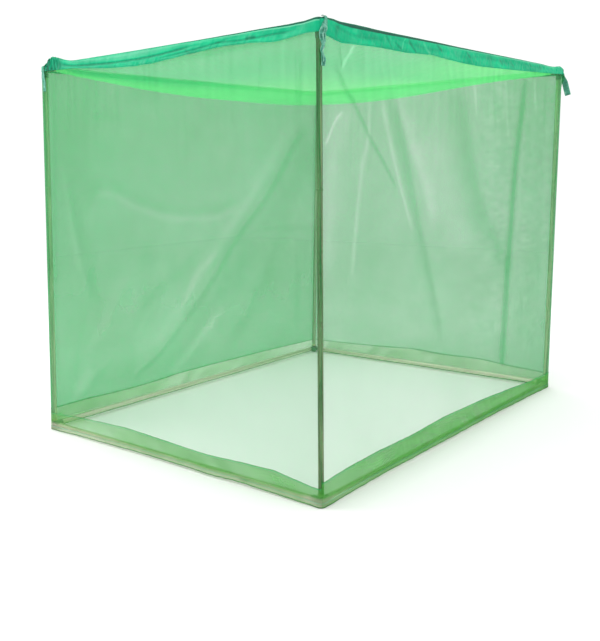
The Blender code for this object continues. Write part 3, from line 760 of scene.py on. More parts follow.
def edge(table, along):
    """A seam's table read along a wall."""
    return read_table(table, along, SEAM_ROUND)


for wall in WALLS:
    print(wall, "band", [round(float(edge(BAND_DROP[wall], a)) * 1000) for a in (0, 0.5, 1)], "mm,",
          "border", [round(float(edge(BORDER_HEIGHT[wall], a)) * 1000) for a in (0, 0.5, 1)], "mm")

# %% [markdown]
# ## Net panels
# Each wall's net is one panel, eased onto the band above it and the border below it.
# Easing leaves small gathers under the band, which die out lower down. These are a
# ripple along the wall whose pitch wanders with the noise, deepest at the seam. The far
# walls look denser than the near ones, because they are seen at a slant, against the light.

# %% Net panels
NEAR_STEP, FAR_STEP = 0.0055, 0.0085      # between the grid's points
GATHER_PITCH = 0.055      # from gather to gather along the wall
GATHER_REACH = 0.16       # how far down the gathers fade
GATHER_DEEP, BILLOW_DEEP, CRINKLE_DEEP = 0.0022, 0.004, 0.0007
DENSITY = {     # (metres above the floor, extra layers)
    "foot_wall": ((0.10, -0.58), (0.45, -0.46), (0.80, -0.08), (1.50, 0.12)),
    "right_wall": ((0.10, -0.62), (0.40, -0.58), (0.80, -0.25), (1.50, -0.02)),
    "head_wall": ((0.10, 0.90), (0.45, 0.75), (0.80, 0.35), (1.50, 0.40)),
    "left_wall": ((0.10, 1.60), (0.45, 1.20), (0.80, 0.60), (1.50, 0.90)),
}
DENSER_ENDS = {     # (share of the wall, extra layers): the cloth crowds towards the posts
    "foot_wall": ((0.0, 0.22), (0.35, 0.02), (0.7, 0.0), (1.0, 0.12)),
    "right_wall": ((0.0, 0.06), (0.3, 0.0), (0.7, 0.02), (1.0, 0.26)),
    "head_wall": ((0.0, 0.50), (0.25, 0.10), (1.0, 0.0)),
    "left_wall": ((0.0, 0.15), (0.4, 0.0), (1.0, 0.40)),
}
SEAM_LAYERS, SEAM_WIDE = 0.6, 0.0015      # the panels' upright seams on the posts
WRAP_LAYERS, WRAP_REACH = 0.6, 0.014      # crowded where the net is drawn round a post
FEWEST_LAYERS, MOST_LAYERS = -0.85, 2.5   # limits to what tables and pulls add up to
TUCKED = 0.003            # the net runs on behind the strips by this


def seed_of(wall):
    return 10 * (list(WALLS).index(wall) + 1)


def ripple(distance, height, pitch, seed):
    """A wave along distance; the noise pushes its phase and swells its height."""
    push = 1.6 * hills(distance / (pitch * 2.2), height / 0.5, seed)
    swell = 0.55 + 0.45 * hills(distance / (pitch * 3.1), height / 0.4, seed + 1)
    return np.sin(2 * math.pi * distance / pitch + push * math.pi) * swell


def below_band(wall, along, height):
    """Metres below the band's seam, or 0 above it."""
    return np.clip(NET_TOP - edge(BAND_DROP[wall], along) - height, 0, None)


def wall_detail(wall, along, height):
    """Gathers under the band, slow billows and fine crinkles, all drawn flat at the posts.
    What distance and height are divided by is the size of a hill in metres."""
    distance, under, seed = along * wall_length(wall), below_band(wall, along, height), seed_of(wall)
    gathers = GATHER_DEEP * ripple(distance, height, GATHER_PITCH, seed) * np.exp(-under / GATHER_REACH)
    billow = BILLOW_DEEP * hills(distance / 0.30, height / 0.9, seed + 2)
    crinkle = CRINKLE_DEEP * hills(distance / 0.035, height / 0.02, seed + 3)
    held = smooth(under / 0.05) * smooth((height - 0.05) / 0.10)
    to_post = smooth(to_nearest_post(wall, along) / POST_FADE)
    return to_post * (gathers * smooth(under / 0.01) + held * (billow + crinkle))


def wall_layers(wall, along, turn, height):
    """Extra layers: the wall's own, slow unevenness, the gathers, and the seam on each post."""
    distance, under, seed = along * wall_length(wall), below_band(wall, along, height), seed_of(wall)
    layers = read_table(DENSITY[wall], height, 0.10)
    layers = layers + read_table(DENSER_ENDS[wall], along, 0.08)
    layers = layers + 0.07 * hills(distance / 0.22, height / 0.40, seed + 4)
    gathers = 0.16 * ripple(distance, height, GATHER_PITCH, seed) * np.exp(-under / GATHER_REACH)
    fine = 0.10 * hills(distance / 0.016, height / 0.30, seed + 5) * np.exp(-under / 0.30)
    if wall == "right_wall":
        spread = smooth((along - 0.5) / 0.1) * smooth((height - 0.2) / 0.1)
        fine = fine + 0.18 * spread * hills(distance / 0.05, height / 0.014, seed + 6)
    to_seam = (math.pi / 4 - np.abs(turn)) * CLOTH_OUT + to_nearest_post(wall, along)
    seam = SEAM_LAYERS * (1 - smooth((to_seam - SEAM_WIDE) / SEAM_WIDE))
    first, last, _ = WALLS[wall]
    to_wrap = np.minimum(along + (first == "near"), 1 - along + (last == "near")) * wall_length(wall)
    wrap = WRAP_LAYERS * np.exp(-(to_wrap / WRAP_REACH) ** 2)
    return layers + gathers + fine + seam + wrap


def net_panel(wall):
    """The wall's surface from the border's seam to the band's, stood out by the sum of its
    folds, details and lines of pull."""
    step = NEAR_STEP if wall in ("foot_wall", "right_wall") else FAR_STEP
    along, turn = wall_columns(wall, step)
    low = edge(BORDER_HEIGHT[wall], along) - TUCKED
    high = NET_TOP - edge(BAND_DROP[wall], along) + TUCKED
    share = np.linspace(0.0, 1.0, round((HIGH_RAIL - 0.1) / step) + 1)[:, None]
    height = low + (high - low) * share
    along, turn = (np.broadcast_to(a, height.shape) for a in (along, turn))
    pulled, out = pulls(PULLS[wall], wall_length(wall), along, height)
    out = out * smooth(to_nearest_post(wall, along) / POST_FADE)
    lift = main_folds(wall, along, height) + wall_detail(wall, along, height) + out
    lift = lift + bulge(wall, along, height)
    points = wall_points(wall, along, turn, height, lift)
    flat = np.stack([along * wall_length(wall) + turn * CLOTH_OUT, height], axis=-1)
    layers = wall_layers(wall, along, turn, height) + pulled
    layers = np.clip(layers, FEWEST_LAYERS, MOST_LAYERS)
    return cloth_piece(f"{wall}_net", points, flat, layers)


for wall in WALLS:
    panel = place(net_panel(wall), NET, "net", wall)
    width = wall_length(wall) + math.pi / 2 * CLOTH_OUT
    print(panel.name, len(panel.data.polygons), "quads")

# %% [markdown]
# ## Satin bands
# The band is a strip of satin sewn round the top edge, and it is turned up over the rail,
# further in some places than others. Creases run along it where it was folded. Both were
# judged from the photo, so they are tables: a simulation would give other ones each time.

# %% Band tables
BAND_THICK = 0.0007
BAND_ROWS = 30            # rows of points across the strip
ROLL_UP = {     # degrees past level that the band is turned up over the rail
    "foot_wall": ((0.0, 30), (0.1, 46), (0.4, 44), (0.6, 48), (1.0, 50)),
    "right_wall": ((0.0, 50), (0.5, 48), (0.8, 48), (0.93, 55), (1.0, 80)),
    "head_wall": ((0.0, 80), (0.08, 40), (0.3, 24), (0.7, 30), (1.0, 38)),
    "left_wall": ((0.0, 38), (0.4, 30), (0.8, 24), (1.0, 30)),
}
CREASES = {     # depth in mm, half width in mm, places as (share of the wall, metres below the top)
    "foot_wall": ((-3.0, 4, ((.10, .020), (.22, .030), (.36, .036), (.50, .032), (.62, .020))),
                  (1.6, 5, ((.14, .010), (.30, .017), (.46, .016), (.60, .008))),
                  (-2.2, 3, ((.70, .022), (.80, .027), (.93, .024))),
                  (-1.8, 3, ((.52, .044), (.66, .030), (.74, .018)))),
    "right_wall": ((-1.2, 5, ((.03, .020), (.09, .034), (.16, .030))),
                   (-0.9, 5, ((.20, .018), (.32, .030), (.42, .026))),
                   (-0.8, 6, ((.46, .036), (.58, .024), (.72, .028))),
                   (-0.6, 5, ((.70, .016), (.82, .022), (.94, .018)))),
    "head_wall": ((-1.6, 3, ((.20, .014), (.50, .018), (.80, .013))),),
    "left_wall": ((-1.6, 3, ((.15, .014), (.45, .018), (.85, .013))),),
}
print({wall: len(rows) for wall, rows in CREASES.items()}, "creases")

# %% [markdown]
# ## The bunch beside the left corner
# The left tie has gathered the band into upright pleats, a centimetre or two apart. They
# could be shaped one by one, but a wave whose phase wanders with the noise is as uneven
# as the real ones, and the same wave can also shade them.

# %% Pleats of the bunch
BUNCH_MIDDLE, BUNCH_WIDE = 0.07, 0.04     # metres from the left post, and half width
PLEAT_DEEP = 0.004


def bunch_wave(distance, up):
    """Slanting pleats: a wave whose phase is pushed about by the noise."""
    push = 0.9 * hills(distance / 0.03, up / 0.03, 77)
    return np.sin(2 * math.pi * (distance / 0.019 + up / 0.024 + push))


def bunch_share(distance):
    """How far a place is in the bunch: a bell round its middle."""
    return np.exp(-((distance - BUNCH_MIDDLE) / BUNCH_WIDE) ** 2)


def near_left_pleats(wall, along, up):
    """Upright pleats where the band is bunched beside the left corner."""
    if wall != "foot_wall":
        return np.zeros_like(up)
    distance = along * wall_length(wall)
    return PLEAT_DEEP * bunch_wave(distance, up) * bunch_share(distance)


print("pleats", 2 * PLEAT_DEEP * 1000, "mm from crest to trough")

# %% [markdown]
# ## Light and dark in the satin
# Satin shows each fold twice: as a shape, and as a streak where its floats lie at another
# angle to the light. The shape alone reads too faintly on a strip a few pixels high, so an
# attribute paints the second as light and shade in the colour. It puts painted shade in
# creases, puckers and the free edge that has turned away over the rail, and a painted
# highlight on the fold that the sun has reached.

# %% Shade of the bands
# metres from the left post, painted shade (below 0) and painted highlight (above 0)
BUNCH_SHADE = ((0.0, 0.4), (0.024, 0.4), (0.033, -0.6), (0.040, -0.95), (0.052, -0.8), (0.064, -0.5),
               (0.080, -0.3), (0.100, -0.3), (0.120, -0.5), (0.140, -0.2), (0.170, 0.0))
# share of the foot wall, how pale the painted highlight on its upper fold is
FOLD_HIGHLIGHT = ((0.0, 0.0), (0.10, 0.05), (0.20, 0.10), (0.42, 0.22), (0.55, 0.12), (0.68, 0.0))
IN_SHADE = {     # metres of the band's free edge that lie in shade, turned away over the rail
    "foot_wall": ((0.0, 0.0), (0.50, 0.0), (0.60, 0.003), (0.85, 0.005), (0.93, 0.007), (1.0, 0.008)),
    "right_wall": ((0.0, 0.006), (0.03, 0.009), (0.08, 0.014), (0.24, 0.010), (0.50, 0.006),
                   (0.76, 0.004), (0.95, 0.001), (1.0, 0.0)),
}
# how brightly the fold below that strip catches the light
RIM = {"foot_wall": ((0.0, 0.0), (0.6, 0.0), (0.8, 0.6), (1.0, 0.7)),
       "right_wall": ((0.0, 0.0), (0.35, 0.0), (0.5, 0.5), (0.95, 0.6), (1.0, 0.0))}
PUCKERS = {      # shade, half width in mm, places as (share of the wall, metres below the top)
    "foot_wall": ((-0.5, 5, ((.80, .022), (.83, .024))), (-0.3, 5, ((.60, .030), (.63, .050)))),
    "right_wall": ((-0.45, 4, ((.185, .012), (.200, .046))), (-0.4, 4, ((.215, .030), (.236, .048))),
                   (0.35, 3, ((.236, .046), (.250, .012))), (-0.5, 5, ((.262, .015), (.284, .048))),
                   (0.35, 7, ((.315, .018), (.340, .048))), (-0.45, 4, ((.365, .014), (.385, .030))),
                   (-0.4, 5, ((.485, .018), (.505, .032))), (-0.35, 5, ((.640, .020), (.655, .036))),
                   (-0.3, 4, ((.700, .020), (.715, .040))), (-0.4, 4, ((.80, .014), (.815, .026))),
                   (-0.4, 4, ((.855, .012), (.865, .026))), (-0.3, 8, ((.045, .015), (.03, .040)))),
    "head_wall": (), "left_wall": (),
}
TROUGH_SHADE, CREST_SHADE = 0.18, 0.1      # painted shade in a trough and painted highlight on a crest, for each mm of depth
FAR_PALER = 0.5           # painted paler: the far bands are seen through two layers of lit net


def band_shade(wall, along, share, drop_here, to_edge):
    """Painted light and shade: a sum of slow hills, the painted highlight on the upper fold,
    the painted shade and highlight of the bunch, and bells across each crease and pucker;
    past the last fold it is mixed to full painted shade, with a painted bright rim below."""
    distance, seed = along * wall_length(wall), 100 + seed_of(wall)
    shade = 0.08 * hills(distance / 0.05, share * 2, seed + 3)
    shade = shade + 0.05 * hills(distance / 0.014 - share / 0.5, share * 1.6, seed + 4)
    if wall in ("head_wall", "left_wall"):
        shade = shade + FAR_PALER
    if wall == "foot_wall":
        shade = shade + read_table(FOLD_HIGHLIGHT, along, 0.02) * smooth((share - 0.42) / 0.2)
        shade = shade + read_table(BUNCH_SHADE, distance, 0.004)
        shade = shade + 0.4 * bunch_share(distance) * bunch_wave(distance, share * 0.045)
    if wall == "right_wall":
        # painted highlights and shade in the gathers round the right corner
        to_corner = (1 - along) * wall_length(wall)
        gathered = np.exp(-((to_corner - 0.02) / 0.05) ** 2)
        shade = shade + 0.5 * gathered * hills(distance / 0.02, share * 2, 9)
    for depth, width, points in CREASES[wall]:
        line = streak(points, width / 1000, wall_length(wall), along, drop_here)
        shade = shade + depth * (TROUGH_SHADE if depth < 0 else CREST_SHADE) * line
    for deep, width, points in PUCKERS[wall]:
        shade = shade + deep * streak(points, width / 1000, wall_length(wall), along, drop_here)
    if wall in IN_SHADE:
        strip = edge(IN_SHADE[wall], along)
        turned = (1 - smooth((to_edge - strip) / 0.0016 + 0.5)) * smooth(strip / 0.002)
        rim = edge(RIM[wall], along) * np.exp(-((to_edge - strip - 0.002) / 0.0015) ** 2)
        shade = shade * (1 - turned) - turned + rim * (1 - turned)
    return shade


print({wall: len(rows) for wall, rows in PUCKERS.items()}, "puckers")

# %% [markdown]
# ## The band's surface
# From its seam the strip follows the wall up to the rail's height and then rolls over the
# rail. Its lower part hangs free and sways a little, while its upper part is stretched
# taut, so the puckers die out there. It could be a flat strip with a bump, but the band
# makes the canopy's outline against the sky, where only a real shape shows.

# %% Bands
def band_points(wall, along, turn, share, lift_more=0.0):
    """The wall's surface from the seam up to the rail's height, then an arc about the rail
    whose angle is the run past that height over CLOTH_OUT."""
    drop = edge(BAND_DROP[wall], along)
    flat_run = drop - (NET_TOP - HIGH_RAIL)
    roll = np.radians(edge(ROLL_UP[wall], along))
    run = flat_run + roll * CLOTH_OUT
    up = share * run
    angle = np.clip((up - flat_run) / CLOTH_OUT, 0.0, None)
    height = HIGH_RAIL - flat_run + np.minimum(up, flat_run)
    distance, seed = along * wall_length(wall), 100 + seed_of(wall)
    held = smooth(to_nearest_post(wall, along) / 0.05)
    hang = 1 - smooth(share / 0.7)
    pucker = 0.0016 * hills(distance / 0.022 + up / 0.02, up / 0.03, seed)
    slant = 0.0011 * hills(distance / 0.008 - up / 0.012, up / 0.06, seed + 2)
    sway = np.abs(0.003 * hills(distance / 0.09, up / 0.2, seed + 1)) * hang
    creased = sum(depth / 1000 * streak(points, width / 1000, wall_length(wall), along, drop - up)
                  for depth, width, points in CREASES[wall])
    taut = 1 - 0.85 * smooth((share - 0.6) / 0.25)
    lift = 0.001 + lift_more + held * (taut * (pucker + slant) + sway + creased + 0.002 * hang)
    lift = lift + near_left_pleats(wall, along, up) + bulge(wall, along, height)
    outer = wall_points(wall, along, turn, height, lift)
    straight = wall_points(wall, along, turn, height, -CLOTH_OUT)
    rolled = straight + unit(outer - straight) * ((CLOTH_OUT + lift) * np.cos(angle))[..., None]
    rolled[..., 2] = straight[..., 2] + (CLOTH_OUT + lift) * np.sin(angle)
    rolled[..., 2] += raised(*plan(wall, along)) * smooth(share / 0.75)
    return rolled, np.stack([distance + turn * CLOTH_OUT, up], axis=-1), drop - up


def band(wall):
    """One strip of satin and its mean cut width."""
    along, turn = wall_columns(wall, 0.004)
    share = np.linspace(0.0, 1.0, BAND_ROWS)[:, None]
    along, turn, share = np.broadcast_arrays(along, turn, share)
    points, flat, drop_here = band_points(wall, along, turn, share)
    to_edge = flat[-1, :, 1] - flat[..., 1]
    shade = band_shade(wall, along, share, drop_here, to_edge)
    piece = cloth_piece(wall.replace("wall", "top_band_satin"), points, flat, shade=shade,
                        thickness=BAND_THICK)
    return piece, float(flat[-1, :, 1].mean())


for wall in WALLS:
    strip, width = band(wall)
    place(strip, BAND, "band", wall.replace("wall", "top_band"))
    print(strip.name, len(strip.data.polygons), "quads,", round(width * 1000), "mm wide")

# %% [markdown]
# ## Hem borders
# The border is a strip of close-woven cloth below the net. Its lower edge is turned up
# and sewn, and that hem is the same cloth, so it is made as a step in the surface: the
# cloth stands out by one thickness over the last centimetre and a half, and reads as two
# layers there. The lower edge is the darkest: its threads crowd together, and a painted
# contact shadow lies along it. Over the hem the colour is painted paler, for the lit tube
# behind it.

# %% Borders
HEM = 0.015
BORDER_THICK = 0.0006
BORDER_ROWS = 13
HEM_LAYERS, EDGE_LAYERS = 0.25, 0.4       # extra layers of the turned hem and of its lowest edge
EDGE_WIDTH = 0.0025
BORDER_LAYERS = {         # (share of the wall, extra layers)
    "foot_wall": ((0.0, -0.42), (0.30, -0.3), (0.50, 0.05), (0.90, 0.1), (1.0, 0.1)),
    "right_wall": ((0.0, 0.15), (0.1, 0.32), (0.8, 0.35), (1.0, 0.1)),
    "head_wall": ((0.0, 0.0), (0.3, -0.3), (1.0, -0.25)),
    "left_wall": ((0.0, -0.3), (0.6, -0.25), (1.0, 0.2)),
}
PAINTED_LIGHT_BELOW = 0.032       # metres above the floor: below it the hem is painted paler, for the lit tube behind it
# (share of the wall, how pale the painted light on the hem is)
PAINTED_HEM_LIGHT = {"foot_wall": ((0.0, 0.9), (0.4, 0.75), (0.8, 0.6), (1.0, 0.8)),
         "right_wall": ((0.0, 0.5), (0.15, 0.15), (1.0, 0.1)),
         "head_wall": ((0.0, 0.2), (1.0, 0.2)), "left_wall": ((0.0, 0.2), (1.0, 0.3))}


def border_points(wall, along, turn, height):
    """The wall's surface, a step out at the hem, and waves that open towards the free edge."""
    top = edge(BORDER_HEIGHT[wall], along)
    distance, seed = along * wall_length(wall), 200 + seed_of(wall)
    held = smooth(to_nearest_post(wall, along) / 0.06)
    wave = np.abs(0.003 * hills(distance / 0.11, height / 0.2, seed)) * (1 - smooth(height / top))
    pucker = 0.0009 * hills(distance / 0.024, height / 0.05, seed + 1)
    slant = 0.0009 * hills(distance / 0.012 + height / 0.03, height / 0.07, seed + 2)
    hem = height <= edge(HEM_UP[wall], along) + HEM
    lift = 0.0008 + 0.0007 * hem + held * (wave + pucker + slant)
    lift = lift + main_folds(wall, along, height)
    points = wall_points(wall, along, turn, height + BORDER_THICK / 2, lift)
    return points, np.stack([distance + turn * CLOTH_OUT, height], axis=-1)


def border(wall):
    """One strip of border: close rows up the hem, then even ones to the seam."""
    along, turn = wall_columns(wall, 0.006)
    top = edge(BORDER_HEIGHT[wall], along)
    hem_rows = edge(HEM_UP[wall], along) + np.append(np.linspace(0, HEM, 8), HEM + 0.001)[:, None]
    upper = hem_rows[-1] + (top - hem_rows[-1]) * np.linspace(0, 1, BORDER_ROWS)[1:, None]
    height = np.concatenate([hem_rows, upper])
    along, turn = (np.broadcast_to(a, height.shape) for a in (along, turn))
    points, flat = border_points(wall, along, turn, height)
    layers = read_table(BORDER_LAYERS[wall], along, 0.05)
    up = height - height[0]
    layers = layers + HEM_LAYERS * (up <= HEM) + EDGE_LAYERS * (up < EDGE_WIDTH)
    distance = along * wall_length(wall)
    layers = layers + 0.15 * hills(distance / 0.06 + height / 0.06, height / 0.05, 250)
    patchy = 1 + 0.3 * hills(distance / 0.04, height / 0.03, 251)
    # painted light: the hem is paler where the lit tube shows through it
    hem_light = read_table(PAINTED_HEM_LIGHT[wall], along, 0.05) * patchy
    shade = hem_light * smooth((PAINTED_LIGHT_BELOW + 0.008 - height) / 0.016)
    # painted contact shadow along the lowest edge
    shade = shade - (0.6 + shade) * smooth((0.0045 - up) / 0.0025)
    return cloth_piece(wall.replace("wall", "border_cloth"), points, flat, layers, shade, BORDER_THICK)


for wall in WALLS:
    strip = place(border(wall), BORDER, "border", wall.replace("wall", "border"))
    print(strip.name, len(strip.data.polygons), "quads")

# %% [markdown]
# ## Roof
# The roof is a rectangle of net held along its four edges, and these roll over the rails
# by a quarter turn. Where two rolls meet at a corner the way out has to turn from one rail
# to the other, or the cloth would pinch. A grid with its own columns for the roll, and a
# direction that is blended between the two, keeps the corner round and closed.

# %% Rolls and ways over the roof
ROLL_STEPS = 4
ROOF_STEP = 0.0065


def roof_columns(length):
    """Shares of the way between two rails, and the roll at each end, in even steps."""
    roll = np.linspace(math.pi / 2, 0.0, ROLL_STEPS + 1)[:-1]
    inner = np.linspace(0.0, 1.0, round(length / ROOF_STEP) + 1)
    still = np.zeros(len(roll))
    return (np.concatenate([still, inner, still + 1.0]),
            np.concatenate([-roll, np.zeros(len(inner)), roll[::-1]]))


def rolled_out(roll_x, roll_y):
    """The way out at a roll: its tilt is the larger roll, its bearing turns to the diagonal."""
    big = np.maximum(np.abs(roll_x), np.abs(roll_y))
    small = np.minimum(np.abs(roll_x), np.abs(roll_y))
    bearing = math.pi / 4 * np.divide(small, big, out=np.zeros_like(big), where=big > 0)
    mostly_x = np.abs(roll_x) >= np.abs(roll_y)
    flat_x = np.where(mostly_x, np.cos(bearing), np.sin(bearing)) * np.sign(roll_x)
    flat_y = np.where(mostly_x, np.sin(bearing), np.cos(bearing)) * np.sign(roll_y)
    return np.stack([np.sin(big) * flat_x, np.sin(big) * flat_y, np.cos(big)], axis=-1)


def way_across(x, y):
    """The share of the way over the roof from the near rails to the far ones, going the way
    that the camera looks: 0 on a near rail, 1 on a far one."""
    wide, long = wall_length("foot_wall"), wall_length("right_wall")
    leftward, onward = -math.cos(HEADING), math.sin(HEADING)
    behind = np.minimum((wide - x) / leftward, y / onward)
    ahead = np.minimum(x / leftward, (long - y) / onward)
    return behind / (behind + ahead + 1e-6)


print("roof grid", [len(roof_columns(wall_length(wall))[0]) for wall in ("foot_wall", "right_wall")])

# %% [markdown]
# ## The roof's bowl
# Between the rails the roof hangs in a shallow bowl under its own weight. Two humps
# multiplied give that bowl, a little fuller towards the near corner, and small gathers run
# inwards from the seams. Where the photo's view grazes the bowl, its net looks denser and
# brighter, which an opacity can't know, so extra layers and a paler shade are put there.

# %% Roof
ROOF_SAG = 0.141
SAG_POWER = (2.04, 2.94)  # across and along: higher is flatter in the middle
SAG_SKEW = (0.827, 0.854) # under 1 moves the deepest place off the middle
EDGE_DROP, EDGE_START, EDGE_WIDE = 0.026, 0.008, 0.024   # how the net falls inside the rails
ROOF_OUT = 0.0110         # from a rail's axis to the roof's cloth, under the band's edge
THIN = -0.94              # stretched over the rail, the net is all but clear
RIGHT_DENSER = 0.7        # extra layers beside the right wall
# (share of the way over, extra layers)
ROOF_DENSITY = ((0.0, 0.40), (0.12, 0.60), (0.34, 0.90), (0.5, 0.75), (0.66, -0.4), (1.0, -0.4))


def roof():
    """The rails' corners joined bilinearly, less the bowl, out by ROOF_OUT along the roll."""
    wide, long = wall_length("foot_wall"), wall_length("right_wall")
    across, roll_x = roof_columns(wide)
    along, roll_y = roof_columns(long)
    across, along = np.meshgrid(across, along)
    roll_x, roll_y = np.meshgrid(roll_x, roll_y)
    corner = {name: post_axis(name, HIGH_RAIL) for name in CORNERS}
    s, t = across[..., None], along[..., None]
    base = (1 - t) * ((1 - s) * corner["left"] + s * corner["near"])
    base = base + t * ((1 - s) * corner["back"] + s * corner["right"])
    bowl = 1 - np.abs(2 * across ** SAG_SKEW[0] - 1) ** SAG_POWER[0]
    bowl = bowl * (1 - np.abs(2 * along ** SAG_SKEW[1] - 1) ** SAG_POWER[1])
    x, y = across * wide, along * long
    to_side, to_end = np.minimum(x, wide - x), np.minimum(y, long - y)
    gathers = 0.003 * ripple(y, x, 0.06, 301) * np.exp(-to_side / 0.12) * smooth(to_side / 0.03)
    gathers = gathers + 0.003 * ripple(x, y, 0.06, 303) * np.exp(-to_end / 0.12) * smooth(to_end / 0.03)
    slow = 0.006 * hills(x / 0.35, y / 0.35, 305) * bowl
    to_rail = np.minimum(to_side, to_end)
    fallen = smooth((to_rail - EDGE_START) / EDGE_WIDE)
    base[..., 2] += raised(x, y) + gathers + slow - EDGE_DROP * fallen - (ROOF_SAG - EDGE_DROP) * bowl
    flat = np.stack([x + roll_x * CLOTH_OUT, y + roll_y * CLOTH_OUT], axis=-1)
    way = way_across(x, y)
    crowded = np.exp(-((to_rail - EDGE_START - EDGE_WIDE / 2) / EDGE_WIDE) ** 2)
    layers = read_table(ROOF_DENSITY, way, 0.04) + 8 * gathers + 0.5 * crowded * (way < 0.5)
    rightward = smooth((along - 0.2) / 0.5) * np.exp(-((wide - x) / 0.35) ** 2)
    layers = THIN + (layers + RIGHT_DENSER * rightward - THIN) * smooth((to_rail - 0.002) / EDGE_START)
    # painted light: a paler shade for the glow of lit net where the view grazes the bowl and beside the
    # right wall
    shade = np.maximum(smooth((way - 0.12) / 0.26), rightward)
    return cloth_piece("roof_net", base + rolled_out(roll_x, roll_y) * ROOF_OUT, flat, layers, shade)


panel = place(roof(), ROOF_NET, "net", "roof")
print(panel.name, len(panel.data.polygons), "quads")

# %% [markdown]
# ## Ties
# A satin tape is sewn to each corner and knotted round the elbow, and its free ends hang
# down. Each row of a table is one point of a tape's middle line: metres below the net's
# top, metres to the side and out from the post's axis, its width there, and its twist in
# degrees. A cloth simulation would let the ends fall otherwise than in the photo.

# %% Tie tables
TAPE_COLUMNS = ("drop", "side", "out", "width", "twist")
TAPES = {
    "tie_near_loop": ("near", (
        (-0.0155, 0.0113, -0.0113, 0.012, -45), (-0.0145, 0.0170, -0.0049, 0.013, -45),
        (-0.0090, 0.0202, 0.0025, 0.013, -45), (0.0024, 0.0202, 0.0060, 0.014, -42),
        (0.0148, 0.0161, 0.0105, 0.020, -35), (0.0262, 0.0133, 0.0134, 0.024, -30),
        (0.0376, 0.0040, 0.0192, 0.013, -10), (0.0520, 0.0050, 0.0188, 0.012, 5),
        (0.0633, 0.0085, 0.0175, 0.012, 35), (0.0775, 0.0100, 0.0170, 0.012, 50),
        (0.0975, 0.0080, 0.0170, 0.013, 130), (0.1146, 0.0110, 0.0165, 0.013, 160),
        (0.1317, 0.0105, 0.0160, 0.012, 190))),
    "tie_near_end": ("near", (
        (0.0234, 0.0195, 0.0135, 0.0080, -30), (0.0376, 0.0150, 0.0160, 0.0080, -20),
        (0.0520, 0.0140, 0.0195, 0.0075, -5), (0.0647, 0.0130, 0.0225, 0.0075, 40),
        (0.0761, 0.0075, 0.0235, 0.0085, 20), (0.0880, 0.0050, 0.0230, 0.0085, -10),
        (0.0990, 0.0080, 0.0225, 0.0080, -40), (0.1100, 0.0130, 0.0215, 0.0080, -20),
        (0.1200, 0.0140, 0.0205, 0.0080, 10))),
    "tie_left_wrap": ("left", (
        (-0.003, 0.0382, -0.0325, 0.012, 30), (-0.0015, 0.0336, -0.0145, 0.013, 10),
        (0.010, 0.0279, 0.0025, 0.013, -15), (0.027, 0.0196, 0.0069, 0.013, -40),
        (0.041, 0.0175, 0.0090, 0.013, -48), (0.054, 0.0168, 0.0097, 0.012, -45))),
    "tie_left_end": ("left", (
        (0.029, 0.0263, 0.0065, 0.014, -45), (0.042, 0.0267, 0.0054, 0.018, -42),
        (0.059, 0.0262, 0.0049, 0.019, -48), (0.080, 0.0249, 0.0023, 0.019, -42),
        (0.108, 0.0255, 0.0014, 0.018, -48))),
    "tie_right_wrap": ("right", (
        (-0.0030, 0.000, 0.0000, 0.016, 0), (-0.0005, 0.000, 0.0120, 0.020, 0),
        (0.0090, 0.000, 0.0182, 0.024, 0), (0.0220, 0.000, 0.0185, 0.025, 0),
        (0.0360, 0.000, 0.0180, 0.022, 0))),
    "tie_right_end": ("right", (
        (0.026, 0.000, 0.0215, 0.018, 0), (0.042, 0.000, 0.0250, 0.022, -25),
        (0.062, 0.000, 0.0320, 0.026, -55), (0.092, 0.000, 0.0410, 0.027, -68),
        (0.121, 0.000, 0.0500, 0.027, -70))),
    "tie_back_wrap": ("back", (
        (-0.0030, 0.000, 0.0000, 0.016, 0), (-0.0005, 0.000, 0.0120, 0.018, 0),
        (0.0090, 0.000, 0.0182, 0.018, 0), (0.0240, 0.001, 0.0185, 0.018, 0),
        (0.0420, 0.003, 0.0180, 0.018, 0))),
    "tie_back_end": ("back", (
        (0.026, -0.002, 0.0215, 0.014, 0), (0.044, -0.003, 0.0225, 0.018, -8),
        (0.066, -0.004, 0.0220, 0.020, -12), (0.096, -0.004, 0.0215, 0.020, -9))),
}
print({name: len(rows) for name, (_, rows) in TAPES.items()}, "points")

# %% [markdown]
# ## Tapes
# A tape is a ribbon carried along a path: a smooth curve through the points gives the
# places in between, and the width and the twist are read from the same curve. It is cupped
# a little, as a tape is once it has been knotted, and a painted highlight on its edges and
# painted shade in its middle make the cup show.

# %% Tapes
TAPE_THICK = 0.0006


